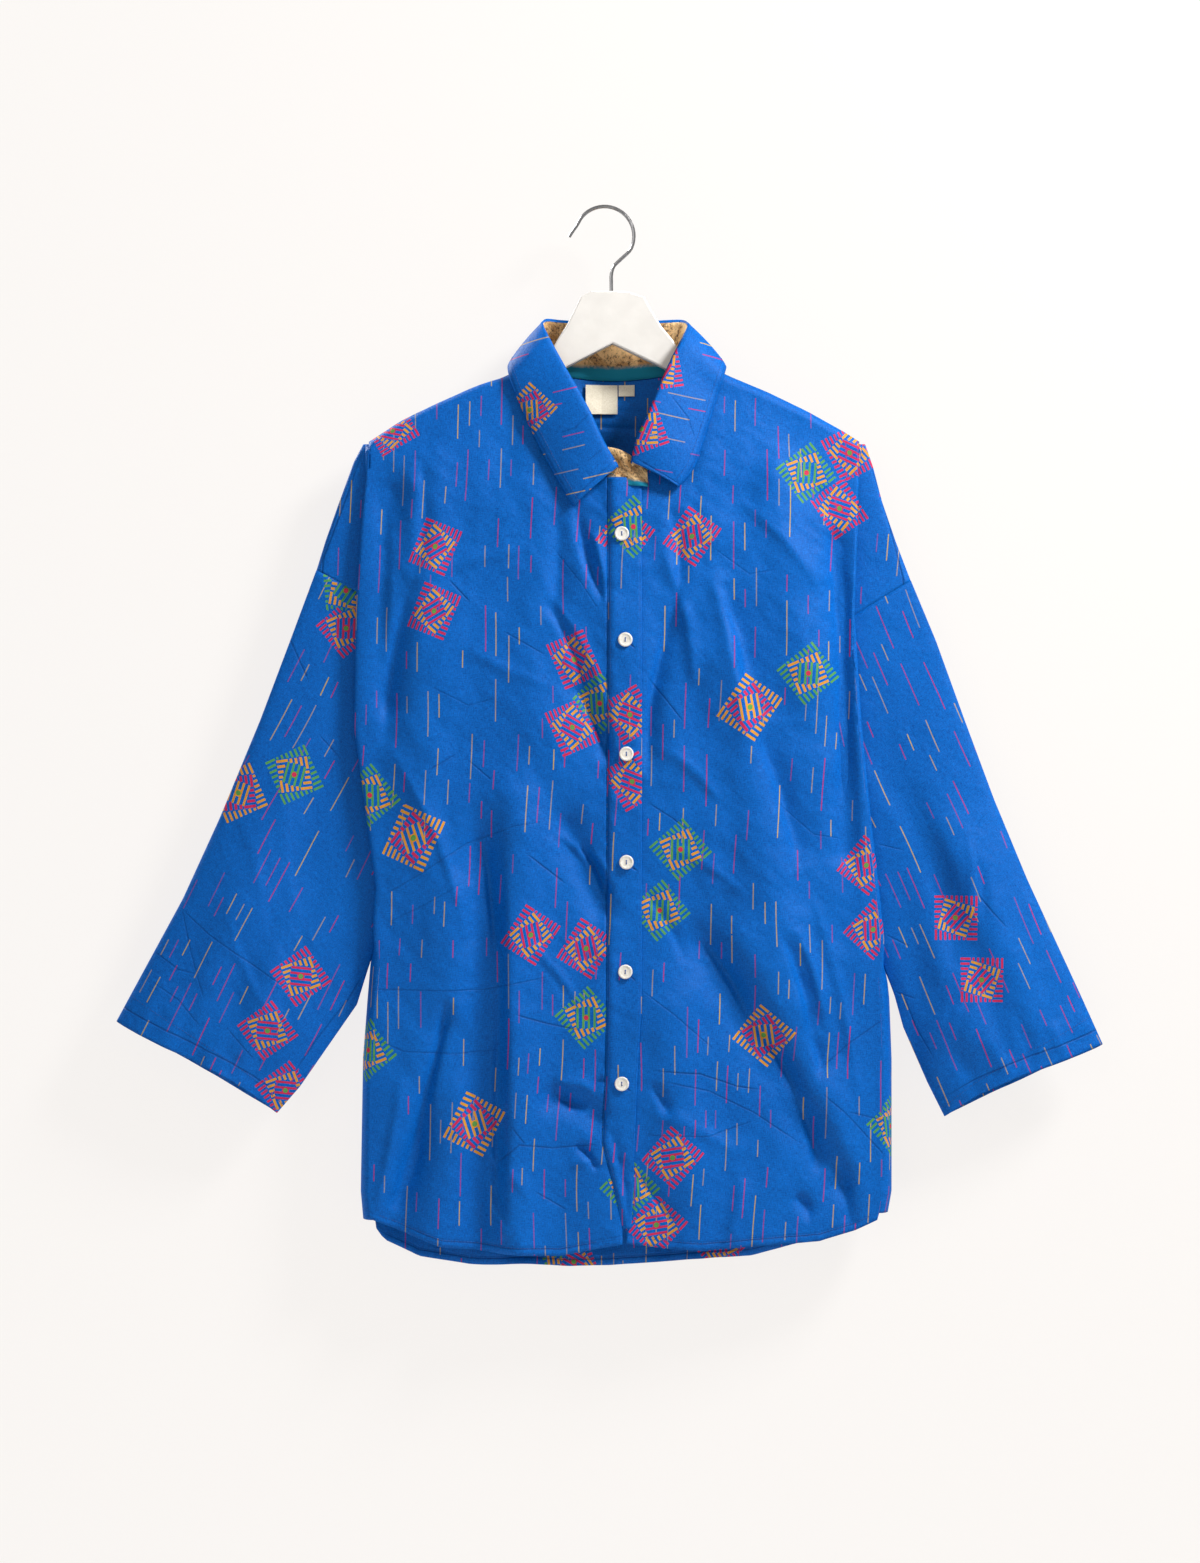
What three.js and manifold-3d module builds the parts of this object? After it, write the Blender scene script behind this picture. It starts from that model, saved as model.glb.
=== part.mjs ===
// Oversized shirt on a flat wooden hanger. Millimetres, +Z up, the front faces -Y.
// The origin is the inside of the hook's bend, where a rail carries it.
// Wearer's right is -X and wearer's left is +X.
import * as THREE from 'three';
import { mergeVertices } from 'three/addons/utils/BufferGeometryUtils.js';
import Module from 'manifold-3d';

// Cloth
const clothWall = 1.6;
const seamGap = 0.3;
const layGap = 1;                      // clear space between a panel and what lies on it

// Body of the shirt
const ridgeRound = 9;                  // drop over which the cloth turns over the hanger's arm
const ridgeStandOff = 8.6;             // half thickness of hanger, clearance and wall
const frontCentreDepth = 27;
const backCentreDepth = 22;
const edgeDepth = 15.5;                // stand-off at the side folds
const fullDepthDrop = 150;             // drop below the shoulder where the full depth is reached
const bodyMiddleX = 10;
const bodyHalfWidth = 225;
const neckMiddleX = 8;
const neckHalfWidth = 65;
const foldFade = 60;                   // drop below the shoulder over which the folds grow
const edgeFade = 30;                   // width beside the body's edge over which they die away
const spreadShare = 0.45;              // share of the height over which the columns fan out
const settlePasses = 3;                // rounds in which a column's width and height agree

// Side folds, where each panel turns back to its armhole and side seam
const foldRadius = 3.2;
const returnRadius = 2.6;
const foldDepth = 22;
const foldDepthLow = 7;                // just above the armpit
const foldShallowing = 110;            // height above the armpit over which the fold grows shallow
const sideRound = 9;
const backInset = 2;                   // the back's side folds lie this far inside the front's
const foldOpening = 50;                // height over which the fold opens out below the shoulder tip
const foldStart = 16;                  // drop below the shoulder tip where the fold begins
const foldEase = 0.3;                  // share of its radius that the fold has turned at its first point
const openTurn = 0.9;                  // share of a quarter round that the opened-out side takes
const ridgeSeam = 0.6;                 // from the shoulder seam's middle to each panel's edge
const pressedHalf = 1.15;              // half the distance between two pressed layers' middles
const armpitBlend = 50;
const sideColumns = 7;
const capColumns = 4;

// Rows down a panel, as shares of its height, and the rows of the armhole's corner and the armpit
const rowShares = [0, 0.004, 0.012, 0.03, 0.06, 0.1, 0.15, 0.21, 0.27, 0.33, 0.39, 0.45, 0.51,
  0.57, 0.625, 0.68, 0.74, 0.8, 0.87, 0.94, 1];
const seamRow = 7;
const armpitRow = 15;
const frontColumns = 16;
const backShoulderColumns = 8;

// Placket and buttons
const placketLift = clothWall + layGap;
const placketTopZ = -243;
const placketBottomZ = -890;
const buttonDiameter = 13;
const buttonThickness = 2.4;
const buttonHole = 1.9;
const buttonHoleSpacing = 3.2;

// Hanger and hook
const hangerThickness = 12;
const hangerClearance = 4;             // from the hanger's top edge to the cloth's middle
const rodDiameter = 3.2;
const hookRadius = 25.8;               // to the rod's middle
const stemX = 6;
const stemDepth = 16;

// Shoulder line from the neck point to the hanger's tip
const shoulders = {
  right: [
    { x: -57, z: -130 },
    { x: -84, z: -147 },
    { x: -110, z: -155 },
    { x: -146, z: -171 },
    { x: -177, z: -186 },
    { x: -208, z: -206 },
  ],
  left: [
    { x: 74, z: -130 },
    { x: 106, z: -146 },
    { x: 144, z: -162 },
    { x: 179, z: -179 },
    { x: 211, z: -197 },
    { x: 225, z: -206 },
  ],
};

// Side folds of the front by height
const sideFolds = [
  { z: -206, right: -208, left: 225 },
  { z: -231, right: -209, left: 220 },
  { z: -267, right: -211, left: 217 },
  { z: -342, right: -216, left: 217 },
  { z: -454, right: -218, left: 224 },
  { z: -535, right: -207, left: 232 },
  { z: -595, right: -199, left: 239 },
  { z: -692, right: -207, left: 249 },
  { z: -744, right: -211, left: 251 },
  { z: -860, right: -213, left: 251 },
  { z: -905, right: -209, left: 243 },
];

// Outer line of the dropped shoulder and the sleeve, from the hanger's tip to the cuff
const sleeveOuter = {
  right: [
    { x: -211, z: -207 },
    { x: -219, z: -222 },
    { x: -232, z: -257 },
    { x: -244, z: -291 },
    { x: -252, z: -317 },
    { x: -275, z: -379 },
    { x: -301, z: -448 },
    { x: -337, z: -535 },
    { x: -369, z: -605 },
    { x: -407, z: -675 },
    { x: -427, z: -712 },
  ],
  left: [
    { x: 228, z: -207 },
    { x: 235, z: -227 },
    { x: 243, z: -257 },
    { x: 255, z: -292 },
    { x: 268, z: -326 },
    { x: 290, z: -379 },
    { x: 315, z: -448 },
    { x: 341, z: -518 },
    { x: 370, z: -588 },
    { x: 418, z: -692 },
    { x: 436, z: -732 },
  ],
};
const capOutlineRows = 4;

// Underarm line of the sleeve, from the armpit to the cuff
const sleeveInner = {
  right: [
    { x: -208, z: -668 },
    { x: -217, z: -697 },
    { x: -267, z: -769 },
    { x: -287, z: -792 },
  ],
  left: [
    { x: 254, z: -688 },
    { x: 262, z: -717 },
    { x: 283, z: -765 },
    { x: 298, z: -795 },
  ],
};

// Heights on the armhole edge: its corner at the cap seam, the armpit and the hem at the side seam
const armholes = {
  right: { out: -1, cornerZ: -348, armpitZ: -664, hemZ: -884 },
  left: { out: 1, cornerZ: -370, armpitZ: -680, hemZ: -878 },
};

// Depth of the sleeve's two layers from its middle, from the armhole to the cuff
const sleeveDepths = [
  { along: 0, depth: 5 },
  { along: 0.3, depth: 11 },
  { along: 0.6, depth: 16 },
  { along: 1, depth: 14 },
];
const sleeveStations = 12;
const sleeveLeave = 0.08;              // share of the sleeve where its layers start to part
const sleeveLeaveLow = 0.3;            // and the same beside the armpit
const sleeveSwell = 0.5;
const chordPowers = [3, 12];           // how fast the armhole's curve straightens, at top and armpit
const cuffLift = 11;                   // the front layer's cuff lies this far above the back's
const armholeGap = 1.2;                // from the armhole edge to the sleeve's first points
const capSeamGap = 3.4;                // the same along the shoulder cap's seam
const cornerAcross = 1.6;              // how the sleeve's corner point leans out
const cornerDown = 2.2;                // and down

// Collar from the right front end round the back to the left front end
const collarRows = [
  { face: -1, neckX: 8, neckZ: -238, rollX: 12, rollY: -31, rollZ: -230, edgeX: -27, edgeZ: -264 },
  { face: -1, neckX: -9, neckZ: -232, rollX: -1, rollY: -34, rollZ: -208, edgeX: -37, edgeZ: -247 },
  { face: -1, neckX: -24, neckZ: -216, rollX: -13, rollY: -33, rollZ: -182, edgeX: -51, edgeZ: -222 },
  { face: -1, neckX: -38, neckZ: -192, rollX: -25, rollY: -28, rollZ: -160, edgeX: -63, edgeZ: -198 },
  { face: -1, neckX: -49, neckZ: -162, rollX: -37, rollY: -21, rollZ: -138, edgeX: -76, edgeZ: -168 },
  { face: -1, neckX: -56, neckZ: -138, rollX: -49, rollY: -11, rollZ: -115, edgeX: -83, edgeZ: -149 },
  { face: 0, neckX: -57, neckZ: -130, rollX: -54, rollY: 0, rollZ: -103, edgeX: -84, edgeZ: -138 },
  { face: 1, neckX: -52, neckZ: -137, rollX: -51, rollY: 12, rollZ: -97, edgeX: -77, edgeZ: -143 },
  { face: 1, neckX: -36, neckZ: -146, rollX: -38, rollY: 20, rollZ: -97, edgeX: -56, edgeZ: -150 },
  { face: 1, neckX: -14, neckZ: -149, rollX: -14, rollY: 25, rollZ: -98, edgeX: -22, edgeZ: -155 },
  { face: 1, neckX: 8, neckZ: -150, rollX: 8, rollY: 26, rollZ: -99, edgeX: 8, edgeZ: -156 },
  { face: 1, neckX: 30, neckZ: -149, rollX: 30, rollY: 25, rollZ: -98, edgeX: 38, edgeZ: -155 },
  { face: 1, neckX: 53, neckZ: -146, rollX: 55, rollY: 20, rollZ: -97, edgeX: 74, edgeZ: -150 },
  { face: 1, neckX: 69, neckZ: -137, rollX: 69, rollY: 12, rollZ: -98, edgeX: 97, edgeZ: -143 },
  { face: 0, neckX: 74, neckZ: -130, rollX: 73, rollY: 0, rollZ: -104, edgeX: 106, edgeZ: -139 },
  { face: -1, neckX: 73, neckZ: -138, rollX: 68, rollY: -11, rollZ: -116, edgeX: 104, edgeZ: -149 },
  { face: -1, neckX: 67, neckZ: -164, rollX: 58, rollY: -20, rollZ: -136, edgeX: 98, edgeZ: -168 },
  { face: -1, neckX: 59, neckZ: -194, rollX: 47, rollY: -28, rollZ: -162, edgeX: 90, edgeZ: -195 },
  { face: -1, neckX: 49, neckZ: -217, rollX: 38, rollY: -33, rollZ: -184, edgeX: 80, edgeZ: -225 },
  { face: -1, neckX: 38, neckZ: -232, rollX: 28, rollY: -34, rollZ: -206, edgeX: 72, edgeZ: -239 },
  { face: -1, neckX: 27, neckZ: -239, rollX: 23, rollY: -31, rollZ: -226, edgeX: 64, edgeZ: -247 },
];
const shoulderRowRight = 6;
const shoulderRowLeft = 14;
const leafLift = 3.4;
const leafDrop = 6;                    // the leaf rides over the panel's form this far below its edge
const leafBulge = 4;
const leafTilt = 0.4;                  // rise of the direction in which the leaf bulges
const leafColumns = 5;
const standColumns = 3;
const standTop = 0.76;                 // share of the stand's height where the leaf takes over

// Placket strip: its stitched edge and its free edge by height
const placketEdges = [
  { z: -243, stitched: 3, free: 32 },
  { z: -690, stitched: 2, free: 32 },
  { z: -761, stitched: 1, free: 28 },
  { z: -815, stitched: -2, free: 26 },
  { z: -849, stitched: 7, free: 25 },
  { z: -890, stitched: 16, free: 23 },
];
const buttons = [
  { x: 15, z: -287 },
  { x: 18, z: -379 },
  { x: 19, z: -478 },
  { x: 19, z: -572 },
  { x: 18, z: -667 },
  { x: 15, z: -764 },
];

// Labels: tags that hang inside the back of the neck
const labelWall = 0.8;
const labelLean = 0.05;
const labels = {
  label_main: { fromX: -16.5, toX: 11.5, topZ: -153, bottomZ: -179 },
  label_size: { fromX: 12.5, toX: 26.5, topZ: -153, bottomZ: -163 },
};

// Hanger plate: the hump in the neck, then the underside from the left tip to the right one
const hangerTopZ = -73;
const hangerBevel = 1.5;
const hangerHump = [
  { x: -59, z: -146 },
  { x: -50, z: -134 },
  { x: -46, z: -124 },
  { x: -41, z: -115 },
  { x: -33, z: -103 },
  { x: -26, z: -89 },
  { x: -21, z: -78 },
  { x: -12, z: hangerTopZ },
  { x: 19, z: hangerTopZ },
  { x: 35, z: -78 },
  { x: 42, z: -91 },
  { x: 50, z: -104 },
  { x: 60, z: -116 },
  { x: 64, z: -123 },
  { x: 67, z: -134 },
  { x: 78, z: -146 },
];
const hangerUnder = [
  { x: 217, z: -210 },
  { x: 213, z: -218 },
  { x: 202, z: -220 },
  { x: 66, z: -149 },
  { x: 55, z: -142 },
  { x: 7, z: -119 },
  { x: -36, z: -141 },
  { x: -48, z: -148 },
  { x: -188, z: -219 },
  { x: -197, z: -218 },
  { x: -200, z: -210 },
];

// Hook: the turned-out tip, the bend in equal steps from one angle to the other, and the stem
const hookTip = [
  { x: -31, z: -25 },
  { x: -28.5, z: -21 },
];
const hookBend = { fromDegrees: 158, toDegrees: -28, steps: 12 };
const hookStem = [
  { x: 14, z: -45 },
  { x: 8, z: -51 },
  { x: stemX, z: -58 },
  { x: stemX, z: -66 },
  { x: stemX, z: hangerTopZ - stemDepth + 1 },
];

// Hems
const frontHem = [
  { x: -211, z: -880 },
  { x: -190, z: -889 },
  { x: -141, z: -907 },
  { x: -88, z: -912 },
  { x: -39, z: -914 },
  { x: -8, z: -908 },
  { x: 19, z: -903 },
  { x: 52, z: -907 },
  { x: 85, z: -909 },
  { x: 130, z: -906 },
  { x: 187, z: -902 },
  { x: 218, z: -893 },
  { x: 251, z: -878 },
];
const backHem = [
  { x: -209, z: -884 },
  { x: -194, z: -905 },
  { x: -163, z: -920 },
  { x: -118, z: -927 },
  { x: -30, z: -929 },
  { x: 85, z: -924 },
  { x: 130, z: -919 },
  { x: 197, z: -903 },
  { x: 235, z: -889 },
  { x: 249, z: -879 },
];

// Largest folds: a ridge where the height is positive and a trough where it is negative
const frontFolds = [
  { fromX: -184, fromZ: -257, toX: -190, toZ: -430, width: 15, height: -5 },
  { fromX: -160, fromZ: -230, toX: -158, toZ: -560, width: 26, height: 5 },
  { fromX: -76, fromZ: -520, toX: -78, toZ: -900, width: 24, height: 8 },
  { fromX: -104, fromZ: -560, toX: -106, toZ: -905, width: 18, height: -6 },
  { fromX: -138, fromZ: -720, toX: -178, toZ: -890, width: 19, height: -6 },
  { fromX: -135, fromZ: -600, toX: -150, toZ: -900, width: 22, height: 4 },
  { fromX: -34, fromZ: -540, toX: -4, toZ: -612, width: 13, height: -5 },
  { fromX: -26, fromZ: -415, toX: 0, toZ: -470, width: 12, height: -3 },
  { fromX: -45, fromZ: -777, toX: -12, toZ: -790, width: 13, height: -5 },
  { fromX: 105, fromZ: -400, toX: 165, toZ: -690, width: 24, height: 7 },
  { fromX: 84, fromZ: -645, toX: 205, toZ: -850, width: 20, height: -6 },
  { fromX: 120, fromZ: -640, toX: 228, toZ: -860, width: 20, height: 5 },
  { fromX: 55, fromZ: -700, toX: 80, toZ: -905, width: 24, height: 5 },
  { fromX: 203, fromZ: -300, toX: 214, toZ: -560, width: 15, height: -5 },
  { fromX: 150, fromZ: -240, toX: 175, toZ: -420, width: 24, height: 4 },
];
const backFolds = [
  { fromX: -150, fromZ: -260, toX: -140, toZ: -640, width: 28, height: 7 },
  { fromX: -110, fromZ: -420, toX: -100, toZ: -915, width: 24, height: -6 },
  { fromX: -62, fromZ: -360, toX: -70, toZ: -915, width: 26, height: 7 },
  { fromX: 8, fromZ: -180, toX: 4, toZ: -915, width: 30, height: -5 },
  { fromX: 70, fromZ: -380, toX: 78, toZ: -915, width: 26, height: 7 },
  { fromX: 118, fromZ: -500, toX: 130, toZ: -905, width: 22, height: -6 },
  { fromX: 165, fromZ: -260, toX: 172, toZ: -880, width: 26, height: 6 },
];
const sleeveFolds = [
  { fromW: 0.42, fromV: 0.1, toW: 0.5, toV: 0.75, width: 0.09, height: -4 },
  { fromW: 0.25, fromV: 0.3, toW: 0.3, toV: 1, width: 0.1, height: 2.5 },
  { fromW: 0.72, fromV: 0.35, toW: 0.66, toV: 1, width: 0.09, height: 2.5 },
];

const lerp = (a, b, t) => a + (b - a) * t;
const clamp01 = (t) => Math.min(Math.max(t, 0), 1);

// s(t) = t^2 (3 - 2t), held at 0 and 1 outside the range
function smooth(t) {
  const c = clamp01(t);
  return c * c * (3 - 2 * c);
}

// Value of one column of a table at a place in another, straight between rows and held past the ends.
function lookUp(table, key, at, column) {
  const rising = table[table.length - 1][key] > table[0][key];
  for (let i = 1; i < table.length; i += 1) {
    const a = table[i - 1];
    const b = table[i];
    const reached = rising ? at <= b[key] : at >= b[key];
    if (reached || i === table.length - 1) {
      return lerp(a[column], b[column], clamp01((at - a[key]) / (b[key] - a[key])));
    }
  }
  return table[0][column];
}

// Point at a share of a line's length, as { x, z }.
function alongLine(line, share) {
  const lengths = [0];
  for (let i = 1; i < line.length; i += 1) {
    lengths.push(lengths[i - 1] + Math.hypot(line[i].x - line[i - 1].x, line[i].z - line[i - 1].z));
  }
  const target = clamp01(share) * lengths[lengths.length - 1];
  let i = 1;
  while (i < line.length - 1 && lengths[i] < target) i += 1;
  const t = (target - lengths[i - 1]) / (lengths[i] - lengths[i - 1]);
  return { x: lerp(line[i - 1].x, line[i].x, t), z: lerp(line[i - 1].z, line[i].z, t) };
}

// Height of the folds at (a, b): each is height * exp(-(distance to its line / width)^2).
function foldHeight(folds, a, b, fromA, fromB, toA, toB) {
  let height = 0;
  for (const fold of folds) {
    const da = fold[toA] - fold[fromA];
    const db = fold[toB] - fold[fromB];
    const t = clamp01(((a - fold[fromA]) * da + (b - fold[fromB]) * db) / (da * da + db * db));
    const distance = Math.hypot(a - fold[fromA] - t * da, b - fold[fromB] - t * db);
    height += fold.height * Math.exp(-((distance / fold.width) ** 2));
  }
  return height;
}

// Height of the shoulder line over x, level across the neck.
function ridgeZ(x) {
  const side = x < neckMiddleX ? shoulders.right : shoulders.left;
  return lookUp(side, 'x', x, 'z');
}

// How far a panel's middle stands off the hanger's plane at (x, z).
function panelDepth(x, z, face) {
  const below = Math.max(ridgeZ(x) - z, 0);
  const over = Math.min(below / ridgeRound, 1);
  const onHanger = ridgeStandOff * Math.sqrt(1 - (1 - over) ** 2);
  const centre = face < 0 ? frontCentreDepth : backCentreDepth;
  const sideways = clamp01(Math.abs(x - bodyMiddleX) / bodyHalfWidth);
  const full = lerp(centre, edgeDepth, sideways ** 2);
  const inNeck = smooth(1 - Math.abs(x - neckMiddleX) / neckHalfWidth);
  const swell = Math.max(smooth(below / fullDepthDrop), inNeck);
  const folds = foldHeight(face < 0 ? frontFolds : backFolds, x, z, 'fromX', 'fromZ', 'toX', 'toZ');
  const atEdge = smooth((bodyHalfWidth - Math.abs(x - bodyMiddleX)) / edgeFade);
  return onHanger + (full - ridgeStandOff) * swell + folds * smooth(below / foldFade) * atEdge;
}

// Closed wall of the given thickness about a surface of points and quads.
// Each point moves half the wall along the mean normal of its quads, and open edges are closed.
function thicken(points, quads, wall) {
  const normals = points.map(() => new THREE.Vector3());
  for (const [a, b, c, d] of quads) {
    const across = new THREE.Vector3().subVectors(points[c], points[a]);
    const normal = across.cross(new THREE.Vector3().subVectors(points[d], points[b]));
    for (const index of [a, b, c, d]) normals[index].add(normal);
  }
  const position = [];
  for (const side of [0.5, -0.5]) {
    points.forEach((point, index) => {
      const moved = point.clone().addScaledVector(normals[index].clone().normalize(), side * wall);
      position.push(moved.x, moved.y, moved.z);
    });
  }
  const count = points.length;
  const indices = [];
  const addQuad = (a, b, c, d) => indices.push(a, b, c, a, c, d);
  const edges = new Set();
  for (const quad of quads) {
    quad.forEach((a, i) => edges.add(`${a},${quad[(i + 1) % 4]}`));
  }
  for (const quad of quads) {
    const [a, b, c, d] = quad;
    addQuad(a, b, c, d);
    addQuad(count + d, count + c, count + b, count + a);
    quad.forEach((from, i) => {
      const to = quad[(i + 1) % 4];
      if (!edges.has(`${to},${from}`)) addQuad(to, from, count + from, count + to);
    });
  }
  const geometry = new THREE.BufferGeometry();
  geometry.setAttribute('position', new THREE.Float32BufferAttribute(position, 3));
  geometry.setIndex(indices);
  return facingOut(geometry);
}

// Signed volume by the sum of a . (b x c) / 6, and the faces turned round where it is negative.
function facingOut(geometry) {
  const p = geometry.getAttribute('position');
  const order = geometry.getIndex().array;
  const a = new THREE.Vector3();
  const b = new THREE.Vector3();
  const c = new THREE.Vector3();
  let volume = 0;
  for (let i = 0; i < order.length; i += 3) {
    a.fromBufferAttribute(p, order[i]);
    b.fromBufferAttribute(p, order[i + 1]);
    c.fromBufferAttribute(p, order[i + 2]);
    volume += a.dot(b.cross(c));
  }
  if (volume < 0) {
    for (let i = 0; i < order.length; i += 3) [order[i], order[i + 1]] = [order[i + 1], order[i]];
  }
  return geometry;
}

// Quads of a grid of rows of point indices, one row list for each column.
function gridQuads(columns) {
  const quads = [];
  for (let i = 1; i < columns.length; i += 1) {
    for (let j = 1; j < columns[i].length && j < columns[i - 1].length; j += 1) {
      quads.push([columns[i - 1][j - 1], columns[i - 1][j], columns[i][j], columns[i][j - 1]]);
    }
  }
  return quads;
}

// Points of one side of a panel past its main part: turn back at the fold, run in, turn out again.
// Lower down the panel only rounds the side to the side seam, and at the hanger's tip it lies open.
function sidePath(name, face, row) {
  const { out, cornerZ, armpitZ, hemZ } = armholes[name];
  const heights = [
    { share: 0, z: sleeveOuter[name][0].z },
    { share: rowShares[seamRow], z: cornerZ },
    { share: rowShares[armpitRow], z: armpitZ },
    { share: 1, z: hemZ },
  ];
  const z = lookUp(heights, 'share', rowShares[row], 'z');
  const opened = 1 - smooth((sleeveOuter[name][0].z - foldStart - z) / foldOpening);
  const closed = smooth((armpitZ + armpitBlend - z) / armpitBlend);
  const foldX = foldEdgeX(name, face, z);
  const round = lerp(foldRadius, sideRound, closed);
  const start = foldX - out * round;
  const depth = panelDepth(start, z, face);
  const shallow = smooth((armpitZ + foldShallowing - z) / (foldShallowing - armpitBlend / 2));
  const inDepth = lerp(foldDepth, foldDepthLow, shallow);
  const inner = Math.min(1, (depth - clothWall) / (2 * foldRadius + 2 * returnRadius + clothWall));
  const r1 = foldRadius * inner;
  const r2 = returnRadius * inner;
  const turned = [
    { p: -r1 * foldEase, q: r1 * foldEase },
    { p: 0, q: r1 },
    { p: -r1, q: 2 * r1 },
    { p: -inDepth / 2 - r1 / 2, q: 2 * r1 },
    { p: -inDepth, q: 2 * r1 },
    { p: -inDepth - r2, q: 2 * r1 + r2 },
    { p: -inDepth, q: 2 * r1 + 2 * r2 },
  ];
  const path = [];
  for (let k = 1; k <= sideColumns; k += 1) {
    const share = k / sideColumns;
    const angle = share * Math.PI / 2;
    const flatDrop = 1 - Math.sqrt(1 - (openTurn * share) ** 2);
    const flat = { p: lerp(-round, 1, share), q: (depth - seamGap) * flatDrop };
    const seam = { p: -round * (1 - Math.sin(angle)), q: (depth - seamGap / 2) * (1 - Math.cos(angle)) };
    const fold = turned[k - 1];
    let p = lerp(fold.p, flat.p, opened);
    let q = lerp(fold.q, flat.q, opened);
    p = lerp(p, seam.p, closed);
    q = lerp(q, seam.q, closed);
    const least = lerp(pressedHalf, seamGap / 2, closed);
    path.push(new THREE.Vector3(foldX + out * p, face * Math.max(depth - q, least), z));
  }
  return path;
}

function foldEdgeX(name, face, z) {
  const { out, armpitZ } = armholes[name];
  const inset = face > 0 ? backInset * (1 - smooth((armpitZ + armpitBlend - z) / armpitBlend)) : 0;
  return lookUp(sideFolds, 'z', z, name) - out * inset;
}

// Main part of a panel between a centre column and a side fold, as a list of columns of points.
// Each column starts on the neck or shoulder line and fans out to an even share of the width.
function panelColumns(name, face, tops, centreX, hem) {
  const { out, armpitZ } = armholes[name];
  const columns = [];
  tops.forEach((top, i) => {
    const share = i / (tops.length - 1);
    const column = rowShares.map((down) => {
      const spread = smooth(down / spreadShare);
      let x = top.x;
      let z = top.z;
      for (let pass = 0; pass < settlePasses; pass += 1) {
        const round = lerp(foldRadius, sideRound, smooth((armpitZ + armpitBlend - z) / armpitBlend));
        const edge = foldEdgeX(name, face, z) - out * round;
        const even = lerp(centreX(z), edge, share);
        const start = i === tops.length - 1 ? edge : lerp(top.x, even, spread);
        x = down === 0 && i < tops.length - 1 ? top.x : start;
        z = lerp(top.z, lookUp(hem, 'x', x, 'z'), down);
      }
      const depth = Math.max(panelDepth(x, z, face), ridgeSeam);
      return new THREE.Vector3(x, face * depth, z);
    });
    columns.push(column);
  });
  return columns;
}

// Cap of the dropped shoulder, from the armhole edge out to the shoulder seam, by rows.
function capColumnsOf(name, face, edge) {
  const outline = sleeveOuter[name].slice(0, capOutlineRows + 1);
  const columns = [];
  for (let c = 1; c <= capColumns; c += 1) {
    const share = c / capColumns;
    const column = [];
    for (let row = 0; row <= seamRow; row += 1) {
      const inner = edge[row];
      const outer = alongLine(outline, rowShares[row] / rowShares[seamRow]);
      const y = Math.max(Math.abs(inner.y) * Math.sqrt(1 - share ** 2), pressedHalf);
      const z = lerp(inner.z, outer.z, share);
      column.push(new THREE.Vector3(lerp(inner.x, outer.x, share), face * y, z));
    }
    columns.push(column);
  }
  return columns;
}

// Side columns and cap of one side, with the armhole edge that the sleeve joins.
function sideOf(name, face) {
  const columns = [];
  for (let k = 0; k < sideColumns; k += 1) columns.push([]);
  rowShares.forEach((share, row) => {
    sidePath(name, face, row).forEach((point, k) => columns[k].push(point));
  });
  const cap = capColumnsOf(name, face, columns[sideColumns - 1]);
  return { columns, cap };
}

const sides = {};
for (const name of ['right', 'left']) {
  sides[name] = { front: sideOf(name, -1), back: sideOf(name, 1) };
}

// Surface of several joined columns of points, given from one side to the other.
function panelSurface(columns) {
  const points = [];
  const indexed = columns.map((column) => column.map((point) => points.push(point) - 1));
  return { points, quads: gridQuads(indexed) };
}

function frontPanel(name) {
  const rows = name === 'right' ? collarRows.slice(0, shoulderRowRight + 1)
    : collarRows.slice(shoulderRowLeft).reverse();
  const neck = rows.map((row) => ({ x: row.neckX, z: row.neckZ }));
  const stitched = (z) => lookUp(placketEdges, 'z', z, 'stitched');
  const centreX = name === 'right' ? (z) => stitched(z) - 1.2 : (z) => Math.max(stitched(z), 2) + 3;
  if (name === 'left') neck.unshift({ x: centreX(placketTopZ), z: placketTopZ + 1 });
  neck[0].x = centreX(neck[0].z);
  const tops = [...neck];
  const count = frontColumns - neck.length + 1;
  for (let i = 1; i <= count; i += 1) tops.push(alongLine(shoulders[name], i / count));
  const main = panelColumns(name, -1, tops, centreX, frontHem);
  const { columns, cap } = sides[name].front;
  return panelSurface([...main, ...columns, ...cap]);
}

function backPanel() {
  const middle = collarRows.slice(shoulderRowRight, shoulderRowLeft + 1);
  const half = Math.floor(middle.length / 2);
  const halves = ['right', 'left'].map((name) => {
    const rows = name === 'right' ? middle.slice(0, half + 1).reverse() : middle.slice(half);
    const tops = rows.map((row) => ({ x: row.neckX, z: row.neckZ }));
    for (let i = 1; i <= backShoulderColumns; i += 1) {
      tops.push(alongLine(shoulders[name], i / backShoulderColumns));
    }
    const main = panelColumns(name, 1, tops, () => neckMiddleX, backHem);
    const { columns, cap } = sides[name].back;
    return [...main, ...columns, ...cap];
  });
  return panelSurface([...halves[0].slice(1).reverse(), ...halves[1]]);
}

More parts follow.
